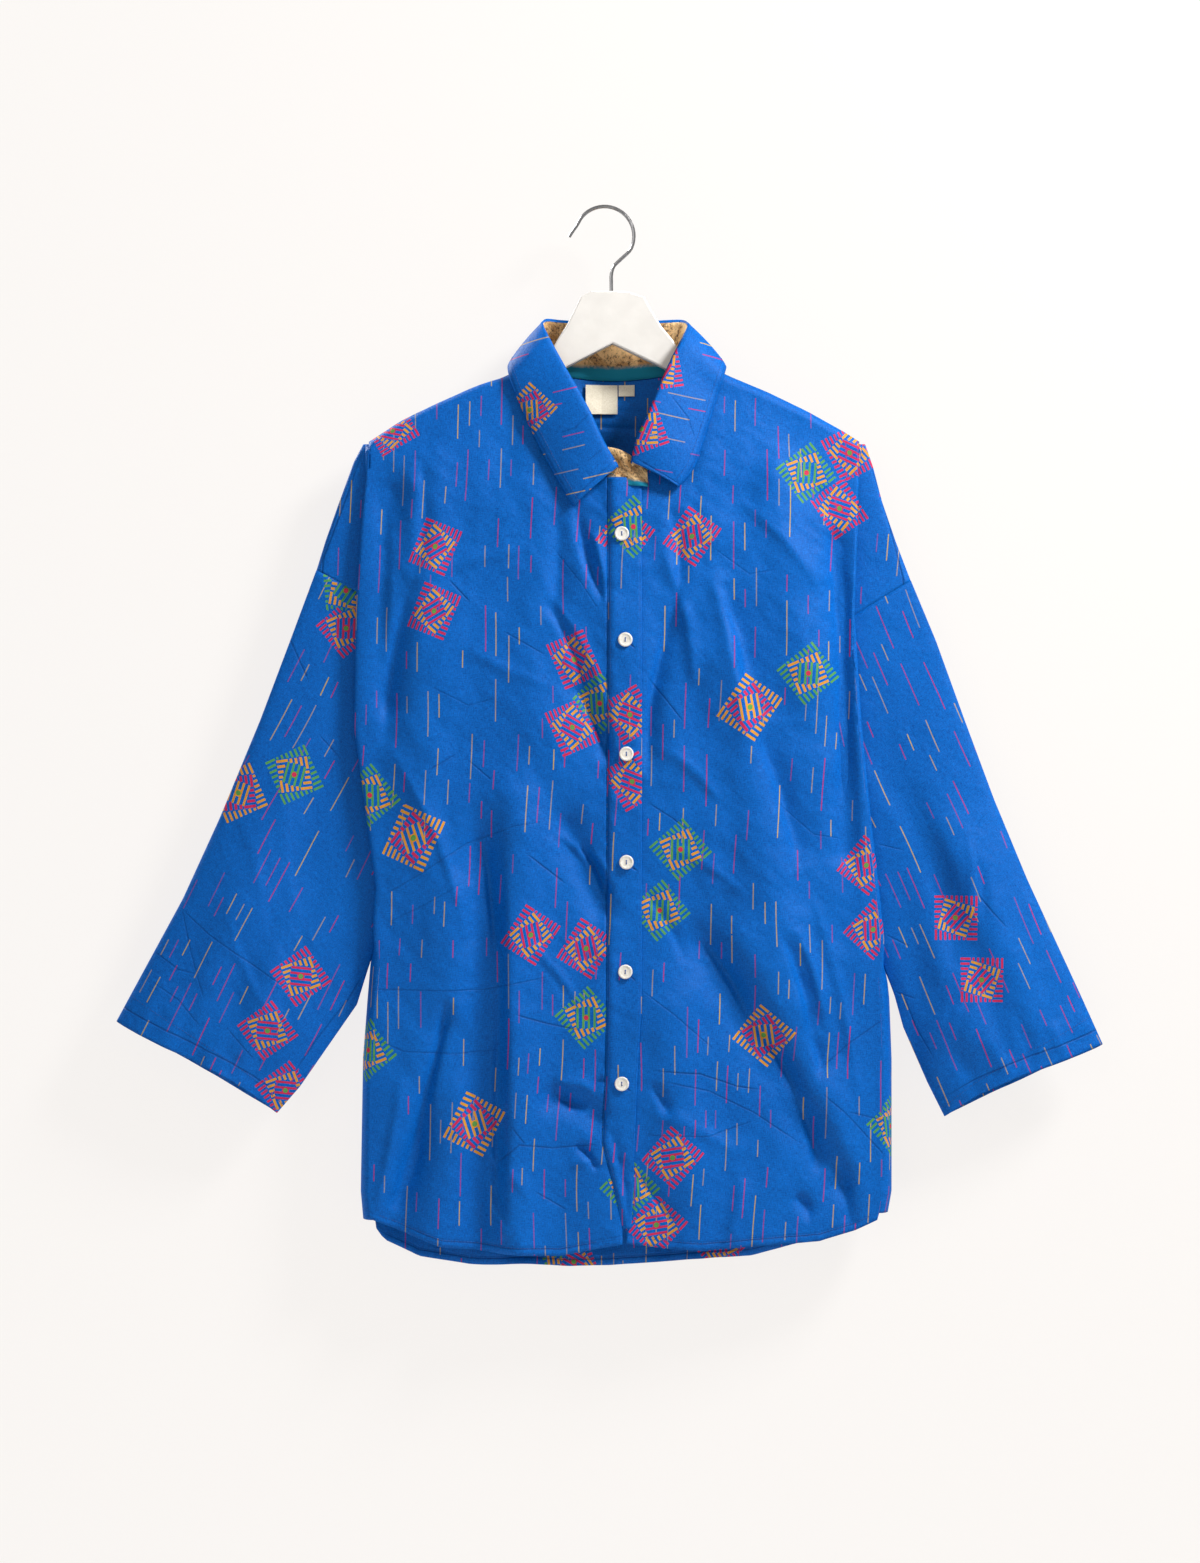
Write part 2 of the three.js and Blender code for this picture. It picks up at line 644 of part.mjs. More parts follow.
// Ring where a sleeve starts: the armhole edge of front and back moved on by the seam gap.
function armholeRing(name, face) {
  const { columns, cap } = sides[name][face < 0 ? 'front' : 'back'];
  const ring = [];
  for (let c = capColumns; c >= 1; c -= 1) {
    const column = cap[c - 1];
    const along = new THREE.Vector3().subVectors(column[seamRow], column[seamRow - 1]).normalize();
    ring.push(column[seamRow].clone().addScaledVector(along, capSeamGap));
  }
  const edge = columns[sideColumns - 1];
  const before = columns[sideColumns - 2];
  for (let row = seamRow; row < armpitRow; row += 1) {
    const along = new THREE.Vector3().subVectors(edge[row], before[row]).normalize();
    if (row === seamRow) along.set(cornerAcross * along.x, along.y, along.z - cornerDown);
    ring.push(edge[row].clone().addScaledVector(along, armholeGap));
  }
  return ring;
}

// Sleeve: S(w, v) blends armhole ring, cuff line, outer line and underarm line (a Coons patch) for
// each layer, and the layers' depth swells from the armhole's to sleeveDepths times an oval in w.
function sleeveSurface(name) {
  const outer = sleeveOuter[name].slice(capOutlineRows);
  const inner = sleeveInner[name];
  const layers = [-1, 1].map((face) => {
    const ring = armholeRing(name, face);
    ring.push(new THREE.Vector3(inner[0].x, 0, inner[0].z));
    ring[0].y = 0;
    return ring;
  });
  const last = layers[0].length - 1;
  const columns = [];
  const addColumn = (face, q) => {
    const ring = face < 0 ? layers[0] : layers[1];
    const w = q / last;
    const column = [];
    for (let s = 0; s <= sleeveStations; s += 1) {
      const v = s / sleeveStations;
      const o = alongLine(outer, v);
      const i = alongLine(inner, v);
      const oEnd = outer[outer.length - 1];
      const iEnd = inner[inner.length - 1];
      const cuffZ = lerp(oEnd.z, iEnd.z, w) + (face < 0 ? cuffLift * w * w * (1 - w) * 4 : 0);
      const cuffX = lerp(oEnd.x, iEnd.x, w);
      const blend = (a, c, oV, iV, o0, o1, i0, i1) => (1 - v) * a + v * c + (1 - w) * oV + w * iV
        - (1 - w) * (1 - v) * o0 - (1 - w) * v * o1 - w * (1 - v) * i0 - w * v * i1;
      const straightX = lerp(ring[0].x, inner[0].x, w);
      const straightZ = lerp(ring[0].z, inner[0].z, w);
      const curved = (1 - v) ** lerp(chordPowers[0], chordPowers[1], w * w);
      const x = blend(straightX, cuffX, o.x, i.x, ring[0].x, oEnd.x, inner[0].x, iEnd.x)
        + curved * (ring[q].x - straightX);
      const z = blend(straightZ, cuffZ, o.z, i.z, ring[0].z, oEnd.z, inner[0].z, iEnd.z)
        + curved * (ring[q].z - straightZ);
      const oval = Math.sqrt(Math.max(1 - (2 * w - 1) ** 2, 0));
      const folds = foldHeight(sleeveFolds, w, v, 'fromW', 'fromV', 'toW', 'toV');
      const swell = smooth((v - lerp(sleeveLeave, sleeveLeaveLow, w ** 3)) / sleeveSwell);
      const full = lookUp(sleeveDepths, 'along', v, 'depth') * oval + folds * oval;
      const depth = lerp(Math.abs(ring[q].y), full, swell);
      column.push(new THREE.Vector3(x, face * depth, z));
    }
    columns.push(column);
  };
  for (let q = 0; q <= last; q += 1) addColumn(-1, q);
  for (let q = last - 1; q >= 1; q -= 1) addColumn(1, q);
  const points = [];
  const indexed = columns.map((column) => column.map((point) => points.push(point) - 1));
  indexed.push(indexed[0]);
  return { points, quads: gridQuads(indexed) };
}

// Collar points in a row: neck seam, roll line and free edge.
function collarPoints(row) {
  const neckY = row.face * panelDepth(row.neckX, row.neckZ, row.face || -1);
  const edgeY = row.face * (panelDepth(row.edgeX, row.edgeZ - leafDrop, row.face || -1) + leafLift);
  return {
    neck: new THREE.Vector3(row.neckX, neckY, row.neckZ),
    roll: new THREE.Vector3(row.rollX, row.rollY, row.rollZ),
    edge: new THREE.Vector3(row.edgeX, edgeY, row.edgeZ),
  };
}

// Leaf: a straight run from the roll line to the free edge, bowed out by leafBulge * sqrt(sin(pi t)).
function leafSurface() {
  const columns = collarRows.map((row) => {
    const { roll, edge } = collarPoints(row);
    const away = new THREE.Vector3(0, row.face, row.face === 0 ? 1 : leafTilt).normalize();
    const column = [];
    for (let t = 0; t <= leafColumns; t += 1) {
      const share = t / leafColumns;
      const bow = leafBulge * Math.sqrt(Math.max(Math.sin(Math.PI * share), 0));
      column.push(new THREE.Vector3().lerpVectors(roll, edge, share).addScaledVector(away, bow));
    }
    return column;
  });
  return panelSurface(columns);
}

// Stand: from the neck seam up to just under the roll line.
function standSurface() {
  const columns = collarRows.map((row) => {
    const { neck, roll } = collarPoints(row);
    const rise = new THREE.Vector3().subVectors(roll, neck);
    const start = (clothWall + 2 * seamGap) / rise.length();
    const column = [];
    for (let t = 0; t <= standColumns; t += 1) {
      column.push(neck.clone().addScaledVector(rise, lerp(start, standTop, t / standColumns)));
    }
    return column;
  });
  return panelSurface(columns);
}

// Placket strip: the front's own points between the strip's edges, moved out.
function placketSurface() {
  const columns = [];
  const across = 3;
  const rows = 22;
  for (let i = 0; i <= across; i += 1) {
    const column = [];
    for (let j = 0; j <= rows; j += 1) {
      const z = lerp(placketTopZ, placketBottomZ, j / rows);
      const stitched = lookUp(placketEdges, 'z', z, 'stitched');
      const x = lerp(stitched, lookUp(placketEdges, 'z', z, 'free'), i / across);
      column.push(new THREE.Vector3(x, -(panelDepth(x, z, -1) + placketLift), z));
    }
    columns.push(column);
  }
  return panelSurface(columns);
}

// Button: a disc with two sewing holes, one above the other.
function buttonGeometry() {
  const disc = new THREE.Shape().absarc(0, 0, buttonDiameter / 2, 0, 2 * Math.PI, false);
  for (const side of [-1, 1]) {
    const hole = new THREE.Path();
    hole.absarc(0, side * buttonHoleSpacing / 2, buttonHole / 2, 0, 2 * Math.PI, true);
    disc.holes.push(hole);
  }
  const options = { depth: buttonThickness, bevelEnabled: false, curveSegments: 10 };
  return new THREE.ExtrudeGeometry(disc, options).rotateX(Math.PI / 2);
}

// Label: a thin tag hanging on the inside of the back from its top edge.
function labelGeometry({ fromX, toX, topZ, bottomZ }) {
  const columns = [fromX, (fromX + toX) / 2, toX].map((x) => {
    const heights = [topZ, (topZ + bottomZ) / 2, bottomZ];
    return heights.map((z) => {
      const y = panelDepth(x, z, 1) - clothWall - layGap - labelLean * (topZ - z);
      return new THREE.Vector3(x, y, z);
    });
  });
  const { points, quads } = panelSurface(columns);
  return thicken(points, quads, labelWall);
}

// Hanger: a flat shaped plate, its top edge just under the shoulder line, bored for the hook.
function hangerOutline() {
  const drop = hangerClearance + hangerBevel;
  const armTop = (line) => line.slice(1, -1).map((p) => ({ x: p.x, z: p.z - drop }));
  return [...armTop(shoulders.right).reverse(), ...hangerHump, ...armTop(shoulders.left), ...hangerUnder];
}

async function hangerGeometry() {
  const shape = new THREE.Shape(hangerOutline().map((p) => new THREE.Vector2(p.x, p.z)));
  const flat = hangerThickness - 2 * hangerBevel;
  const bevel = { bevelThickness: hangerBevel, bevelSize: hangerBevel, bevelOffset: -hangerBevel };
  const options = { depth: flat, bevelSegments: 2, curveSegments: 8, ...bevel };
  const plate = new THREE.ExtrudeGeometry(shape, options);
  plate.rotateX(Math.PI / 2).translate(0, flat / 2, 0);
  const boreRadius = rodDiameter / 2 + seamGap;
  const bore = new THREE.CylinderGeometry(boreRadius, boreRadius, 2 * stemDepth, 16);
  bore.rotateX(Math.PI / 2).translate(stemX, 0, hangerTopZ);
  return cut(plate, bore);
}

// Solid cut of one closed geometry by another.
async function cut(body, tool) {
  const wasm = await Module();
  wasm.setup();
  const solids = [body, tool].map((geometry) => {
    const bare = geometry.clone();
    bare.deleteAttribute('normal');
    bare.deleteAttribute('uv');
    const merged = mergeVertices(bare, 1e-4);
    const triVerts = new Uint32Array(merged.getIndex().array);
    const vertProperties = new Float32Array(merged.getAttribute('position').array);
    return new wasm.Manifold(new wasm.Mesh({ numProp: 3, vertProperties, triVerts }));
  });
  const mesh = solids[0].subtract(solids[1]).getMesh();
  const geometry = new THREE.BufferGeometry();
  geometry.setAttribute('position', new THREE.BufferAttribute(new Float32Array(mesh.vertProperties), 3));
  geometry.setIndex(Array.from(mesh.triVerts));
  return geometry;
}

// Hook: a round rod from its turned-out tip over the bend and down the stem into the hanger.
function hookGeometry() {
  const centreZ = rodDiameter / 2 - hookRadius;
  const points = [...hookTip];
  for (let i = 0; i <= hookBend.steps; i += 1) {
    const degrees = lerp(hookBend.fromDegrees, hookBend.toDegrees, i / hookBend.steps);
    const angle = THREE.MathUtils.degToRad(degrees);
    points.push({ x: hookRadius * Math.cos(angle), z: centreZ + hookRadius * Math.sin(angle) });
  }
  points.push(...hookStem);
  const path = new THREE.CatmullRomCurve3(points.map((p) => new THREE.Vector3(p.x, 0, p.z)));
  const circle = new THREE.Shape().absarc(0, 0, rodDiameter / 2, 0, 2 * Math.PI, false);
  return new THREE.ExtrudeGeometry(circle, { extrudePath: path, steps: 44, curveSegments: 5 });
}

const shirt = new THREE.Group();

function addPiece(name, geometry, colour, roughness, metalness = 0) {
  const material = new THREE.MeshStandardMaterial({ color: colour, roughness, metalness });
  const mesh = new THREE.Mesh(geometry, material);
  mesh.name = name;
  shirt.add(mesh);
  return mesh;
}

function addCloth(name, surface, colour) {
  return addPiece(name, thicken(surface.points, surface.quads, clothWall), colour, 0.75);
}

const blue = 0x1f4f9c;
const batik = 0x8a6a4a;
const cream = 0xe9e2cf;
addCloth('front_right', frontPanel('right'), blue);
addCloth('front_left', frontPanel('left'), blue);
addCloth('back', backPanel(), blue);
addCloth('sleeve_right', sleeveSurface('right'), blue);
addCloth('sleeve_left', sleeveSurface('left'), blue);
addCloth('collar_stand', standSurface(), batik);
addCloth('collar_leaf', leafSurface(), blue);
addCloth('placket', placketSurface(), blue);
buttons.forEach((button, index) => {
  const mesh = addPiece(`button_${index + 1}`, buttonGeometry(), 0xe8e4dc, 0.3);
  const under = panelDepth(button.x, button.z, -1) + placketLift + clothWall / 2;
  mesh.position.set(button.x, -(under + layGap), button.z);
});
for (const [name, label] of Object.entries(labels)) addPiece(name, labelGeometry(label), cream, 0.8);
addPiece('hanger', await hangerGeometry(), 0xf2efe9, 0.45);
addPiece('hook', hookGeometry(), 0xc9ccd0, 0.2, 1);

export default shirt;
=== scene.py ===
import math
import bpy
import numpy as np
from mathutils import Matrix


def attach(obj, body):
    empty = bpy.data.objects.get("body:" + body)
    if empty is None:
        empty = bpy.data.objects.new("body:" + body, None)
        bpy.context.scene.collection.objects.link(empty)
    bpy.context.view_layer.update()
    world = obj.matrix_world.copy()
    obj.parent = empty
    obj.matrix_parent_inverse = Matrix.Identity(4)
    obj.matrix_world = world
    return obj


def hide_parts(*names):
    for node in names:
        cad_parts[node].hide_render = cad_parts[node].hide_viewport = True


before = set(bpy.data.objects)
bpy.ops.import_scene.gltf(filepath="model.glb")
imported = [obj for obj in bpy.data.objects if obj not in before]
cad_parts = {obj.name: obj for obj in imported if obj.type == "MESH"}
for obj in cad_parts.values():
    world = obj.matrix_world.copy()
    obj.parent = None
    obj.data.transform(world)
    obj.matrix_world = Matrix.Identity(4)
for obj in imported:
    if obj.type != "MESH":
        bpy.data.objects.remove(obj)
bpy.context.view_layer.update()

# Sizes below are in millimetres, as a pattern cutter writes them; meshes are made in metres.
mm = 0.001

# The shirt faces -Y; wearer's right is -X. The origin is the inside of the hook's bend.
view = {
    "distance": 3.0, "planeY": -0.02, "middleX": -3.9, "middleZ": -502.0, "height": 1359.8, "sensor": 24.0,
}

cloth = {
    "thickness": 0.75,
    "ridgeRound": 9.0, "ridgeStandOff": 8.6,
    "frontCentreDepth": 27.0, "backCentreDepth": 22.0, "edgeDepth": 15.5, "fullDepthDrop": 150.0,
    "bodyMiddleX": 10.0, "bodyHalfWidth": 225.0, "neckMiddleX": 8.0, "neckHalfWidth": 65.0,
    "foldRadius": 3.2, "returnRadius": 2.6, "foldDepth": 22.0, "foldDepthLow": 7.0, "foldShallowing": 110.0,
    "sideRound": 9.0, "backInset": 2.0, "foldOpening": 50.0, "foldStart": 16.0, "ridgeSeam": 0.06,
    "pressedHalf": 0.9, "edgeHalf": 0.08, "seamHalf": 0.15, "doubleWall": 1.6, "tipRound": 6.0,
    "foldGain": 1.25, "creaseGain": 2.0, "foldsFullDrop": 60, "calmEdge": 30,
    "armpitBlend": 50.0, "fanOut": 0.45, "rowsPerStep": 14,
}
rowShares = [0, 0.004, 0.012, 0.03, 0.06, 0.1, 0.15, 0.21, 0.27, 0.33, 0.39, 0.45, 0.51,
             0.57, 0.625, 0.68, 0.74, 0.8, 0.87, 0.94, 1]
seamRow = 7
armpitRow = 15

# Columns: x and height of the shoulder line from the neck point to the hanger's tip
shoulders = {
    "right": [(-57, -130), (-84, -147), (-110, -155), (-146, -171), (-177, -186), (-208, -206)],
    "left": [(74, -130), (106, -146), (144, -162), (179, -179), (211, -197), (225, -206)],
}
# Columns: height, x of the right side fold, x of the left one
sideFolds = [(-206, -208, 225), (-231, -209, 220), (-267, -211, 217), (-342, -216, 217), (-454, -218, 224),
             (-535, -207, 232), (-595, -199, 239), (-692, -207, 249), (-744, -211, 251), (-860, -213, 251),
             (-905, -209, 243)]
# Columns: x and height of the dropped shoulder's and sleeve's outer line
sleeveOuter = {
    "right": [
        (-211, -207), (-219, -222), (-232, -257), (-244, -291), (-252, -317), (-275, -379),
        (-301, -448), (-337, -535), (-369, -605), (-407, -675), (-427, -712)],
    "left": [
        (228, -207), (235, -227), (243, -257), (255, -292), (268, -326), (290, -379), (315, -448),
        (341, -518), (370, -588), (418, -692), (436, -732)],
}
capOutlineRows = 4
# Columns: x and height of the underarm line
sleeveInner = {
    "right": [(-208, -668), (-217, -697), (-267, -769), (-287, -792)],
    "left": [(254, -688), (262, -717), (283, -765), (298, -795)],
}
armholes = {
    "right": {"out": -1, "cornerZ": -348, "armpitZ": -664, "hemZ": -884},
    "left": {"out": 1, "cornerZ": -370, "armpitZ": -680, "hemZ": -878},
}
# Columns: share along the sleeve, depth of each layer from the middle
sleeveDepths = [(0, 5), (0.3, 11), (0.6, 16), (1, 14)]
# Columns: face, neck x, neck z, roll x, roll y, roll z, edge x, edge z
collarRows = [
    (-1, 8, -238, 12, -31, -230, -27, -264), (-1, -9, -232, -1, -34, -208, -37, -247),
    (-1, -24, -216, -13, -33, -182, -51, -222), (-1, -38, -192, -25, -28, -160, -63, -198),
    (-1, -49, -162, -37, -21, -138, -76, -168), (-1, -56, -138, -49, -11, -115, -83, -149),
    (0, -57, -130, -54, 0, -103, -84, -138), (1, -52, -137, -51, 12, -97, -77, -143),
    (1, -36, -146, -38, 20, -97, -56, -150), (1, -14, -149, -14, 25, -98, -22, -155),
    (1, 8, -150, 8, 26, -99, 8, -156), (1, 30, -149, 30, 25, -98, 38, -155),
    (1, 53, -146, 55, 20, -97, 74, -150), (1, 69, -137, 69, 12, -98, 97, -143),
    (0, 74, -130, 73, 0, -104, 106, -139), (-1, 73, -138, 68, -11, -116, 104, -149),
    (-1, 67, -164, 58, -20, -136, 98, -168), (-1, 59, -194, 47, -28, -162, 90, -195),
    (-1, 49, -217, 38, -33, -184, 80, -225), (-1, 38, -232, 28, -34, -206, 72, -239),
    (-1, 27, -239, 23, -31, -226, 64, -247)]
shoulderRowRight = 6
shoulderRowLeft = 14
# Columns: height, stitched edge x, free edge x
placketEdges = [(-243, 3, 32), (-690, 2, 32), (-761, 1, 28), (-815, -2, 26), (-849, 7, 25), (-890, 16, 23)]
buttonPlaces = [(15, -287), (18, -379), (19, -478), (19, -572), (18, -667), (15, -764)]
frontHem = [
    (-211, -880), (-190, -889), (-141, -907), (-88, -912), (-39, -914), (-8, -908), (19, -903),
    (52, -907), (85, -909), (130, -906), (187, -902), (218, -893), (251, -878)]
backHem = [
    (-209, -884), (-194, -905), (-163, -920), (-118, -927), (-30, -929), (85, -924), (130, -919),
    (197, -903), (235, -889), (249, -879)]
# Large folds. Columns: from x, from z, to x, to z, width, height (negative for a trough)
frontFolds = [
    (-184, -257, -190, -430, 15, -5), (-160, -230, -158, -560, 26, 5), (-76, -520, -78, -900, 24, 8),
    (-104, -560, -106, -905, 18, -6), (-138, -720, -178, -890, 19, -6), (-135, -600, -150, -900, 22, 4),
    (-34, -540, -4, -612, 13, -5), (-26, -415, 0, -470, 12, -3), (-45, -777, -12, -790, 13, -5),
    (105, -400, 165, -690, 24, 7), (84, -645, 205, -850, 20, -6), (120, -640, 228, -860, 20, 5),
    (55, -700, 80, -905, 24, 5), (203, -300, 214, -560, 15, -5), (150, -240, 175, -420, 24, 4)]
backFolds = [
    (-150, -260, -140, -640, 28, 7), (-110, -420, -100, -915, 24, -6), (-62, -360, -70, -915, 26, 7),
    (8, -180, 4, -915, 30, -5), (70, -380, 78, -915, 26, 7), (118, -500, 130, -905, 22, -6),
    (165, -260, 172, -880, 26, 6)]
# The same in shares of the sleeve: across from the outer line, and down from the armhole
sleeveFolds = [
    (0.42, 0.1, 0.5, 0.75, 0.09, -4), (0.25, 0.3, 0.3, 1, 0.1, 2.5), (0.72, 0.35, 0.66, 1, 0.09, 2.5)]


def smooth(t):  # s(t) = t^2 (3 - 2 t), held at 0 and 1
    c = np.clip(t, 0, 1)
    return c * c * (3 - 2 * c)


def mix(a, b, t):
    return a + (b - a) * t


def lookUp(table, at, column=1):  # straight between a table's rows, its first column rising or falling
    rows = np.array(table, float)
    rows = rows if rows[-1, 0] > rows[0, 0] else rows[::-1]
    return np.interp(at, rows[:, 0], rows[:, column])


def alongLine(line, share):  # points at shares of a line's length
    line = np.array(line, float)
    run = np.concatenate([[0], np.cumsum(np.hypot(*np.diff(line, axis=0).T))])
    target = np.clip(share, 0, 1) * run[-1]
    return np.interp(target, run, line[:, 0]), np.interp(target, run, line[:, 1])


def splineWeights(count, at):
    # Catmull-Rom weights of count controls at places 0..count-1, one row a place
    at = np.asarray(at, float)
    low = np.clip(np.floor(at).astype(int), 0, count - 2)
    t = at - low
    parts = [(-t + 2 * t**2 - t**3) / 2, (2 - 5 * t**2 + 3 * t**3) / 2,
             (t + 4 * t**2 - 3 * t**3) / 2, (t**3 - t**2) / 2]
    weights = np.zeros((len(at), count))
    for step, part in zip((-1, 0, 1, 2), parts):
        place = low + step
        before, after = place < 0, place > count - 1
        inside = ~before & ~after
        np.add.at(weights, (np.nonzero(inside)[0], place[inside]), part[inside])
        for outside, end, inner in ((before, 0, 1), (after, count - 1, count - 2)):
            rows = np.nonzero(outside)[0]  # past the ends the line runs straight on
            np.add.at(weights, (rows, np.full(len(rows), end)), 2 * part[outside])
            np.add.at(weights, (rows, np.full(len(rows), inner)), -part[outside])
    return weights


def foldHeight(folds, a, b):  # sum of height * exp(-(distance to the fold's line / width)^2)
    total = np.zeros(np.broadcast(a, b).shape)
    for a0, b0, a1, b1, width, height in folds:
        da, db = a1 - a0, b1 - b0
        t = np.clip(((a - a0) * da + (b - b0) * db) / (da * da + db * db), 0, 1)
        total += height * np.exp(-((a - a0 - t * da) ** 2 + (b - b0 - t * db) ** 2) / width**2)
    return total


# Small creases. Columns: from a, from b, to a, to b, bow, width, height and
# the share of the width on the second side
frontCreases = [
    (-160, -218, -166, -325, 6, 9, -2.6, 0.7), (-166, -325, -192, -470, -5, 10, -2.8, 0.6),
    (-186, -250, -192, -430, 4, 10, 2.4, 0.7), (-42, -268, -46, -360, 4, 12, -2.4, 0.7),
    (-24, -262, 0, -345, -4, 7, -3.4, 0.6), (-10, -286, 1, -350, 2, 4, 1.8, 0.5),
    (-52, -344, 3, -492, 10, 8, -3.0, 0.6), (-42, -346, 8, -478, 9, 5, 1.6, 0.6),
    (-26, -420, -2, -472, 3, 5, -2.2, 0.5), (-22, -558, 2, -606, 4, 5, -4.0, 0.5),
    (-14, -560, 4, -592, 3, 3.5, 2.0, 0.5), (-42, -548, -8, -580, 3, 5, 1.6, 0.5),
    (-40, -776, -15, -786, -3, 5, -3.6, 0.5), (-44, -764, -8, -770, 2, 5, 2.0, 0.5),
    (-26, -818, -6, -840, 2, 5, -3.4, 0.5), (-12, -770, 2, -760, 2, 3, -1.8, 0.6),
    (-30, -836, -2, -830, 1, 4, 1.6, 0.6), (-104, -556, -92, -672, 0, 12, -3.4, 0.3),
    (-92, -660, -95, -905, 0, 13, -3.6, 0.28), (-86, -560, -84, -900, 3, 8, 2.6, 0.5),
    (-138, -692, -160, -780, 4, 8, -3.4, 0.6), (-156, -770, -184, -876, 4, 10, -4.2, 0.6),
    (-126, -690, -150, -800, -4, 8, 2.4, 0.6), (-176, -760, -202, -880, 3, 9, 2.4, 0.6),
    (-190, -470, -120, -640, 10, 7, 1.5, 0.6), (-165, -330, -60, -300, 5, 7, 1.0, 0.6),
    (-130, -380, -40, -420, -5, 7, 1.0, 0.6), (-70, -640, -20, -700, 4, 5, 1.2, 0.6),
    (-140, -800, -60, -870, 6, 6, 1.3, 0.5), (-84, -898, -100, -860, 2, 6, 2.2, 0.6),
    (58, -265, 62, -354, 5, 9, -2.6, 0.6), (62, -354, 38, -498, -8, 10, -3.4, 0.5),
    (50, -300, 78, -420, 6, 8, 1.8, 0.6), (103, -330, 130, -455, 4, 14, -3.4, 0.45),
    (130, -450, 170, -578, 4, 14, -3.6, 0.45), (92, -320, 124, -470, 4, 12, 2.4, 0.6),
    (84, -640, 126, -710, 4, 8, -3.2, 0.5), (126, -706, 170, -782, 4, 9, -3.8, 0.45),
    (168, -776, 186, -842, 3, 9, -3.2, 0.5), (155, -637, 180, -724, 4, 7, -3.0, 0.5),
    (166, -630, 192, -716, 4, 7, 2.2, 0.5), (180, -722, 188, -760, 2, 6, -2.4, 0.5),
    (165, -862, 180, -884, 2, 8, -3.4, 0.6), (40, -764, 56, -794, 2, 7, -2.8, 0.6),
    (196, -262, 208, -520, 5, 9, -2.6, 0.6), (216, -420, 226, -640, 4, 7, 2.2, 0.6),
    (180, -600, 224, -800, 6, 8, 1.6, 0.6), (60, -560, 120, -600, 4, 6, 1.2, 0.6),
    (44, -470, 100, -520, 5, 6, 1.2, 0.6), (36, -600, 70, -660, 3, 5, -1.6, 0.6),
    (40, -790, 120, -830, 5, 7, 1.4, 0.6), (120, -260, 190, -340, 6, 8, 1.2, 0.6),
    (20, -840, 60, -890, 4, 6, -1.8, 0.6), (200, -830, 214, -892, 3, 8, -2.6, 0.6),
    (120, -846, 104, -904, 3, 9, 2.0, 0.6), (3, -800, 20, -880, 3, 5, -1.8, 0.6)]
backCreases = [
    (-120, -300, -60, -520, 8, 7, -2.0, 0.6), (-40, -200, -30, -420, 4, 6, -1.8, 0.6),
    (30, -190, 46, -380, -4, 6, -1.8, 0.6), (-170, -420, -60, -480, 8, 5, 1.6, 0.5),
    (90, -330, 190, -420, 8, 5, 1.5, 0.5), (-160, -620, -20, -570, 8, 5, 1.6, 0.5),
    (-10, -640, 130, -690, 8, 5, 1.6, 0.5), (-180, -760, -40, -800, 7, 5, 1.6, 0.5),
    (30, -780, 200, -740, -7, 5, 1.6, 0.5), (-190, -300, -176, -520, 6, 9, -2.6, 0.5),
    (180, -280, 196, -500, -6, 9, -2.6, 0.5), (-96, -190, -60, -330, 6, 8, -2.2, 0.6),
    (104, -200, 70, -340, -6, 8, -2.2, 0.6), (-150, -560, -176, -740, 6, 10, -3.0, 0.5),
    (120, -560, 150, -720, 6, 9, 2.6, 0.5), (-40, -480, -16, -720, 6, 9, -2.6, 0.5),
    (30, -420, 20, -640, -5, 8, 2.4, 0.5), (-120, -700, -140, -900, 5, 8, -3.2, 0.5),
    (196, -640, 214, -860, 4, 9, -3.0, 0.5), (14, -700, -6, -910, 4, 9, -3.2, 0.5),
    (-60, -300, -30, -470, -6, 9, 2.2, 0.5), (90, -700, 112, -900, 4, 8, 2.8, 0.5),
    (-200, -640, -190, -860, -3, 8, 2.4, 0.5), (66, -250, 100, -420, 5, 9, 2.2, 0.5),
    (-80, -640, -96, -900, 4, 6, -2.6, 0.6), (60, -560, 56, -890, 4, 6, -2.6, 0.6),
    (150, -500, 176, -800, 6, 7, -2.4, 0.6), (-30, -220, 10, -206, 3, 3, 1.2, 0.6),
    (-46, -190, 60, -196, 2, 2.5, 0.9, 0.6), (-40, -176, 58, -180, 2, 2.5, 0.8, 0.6)]
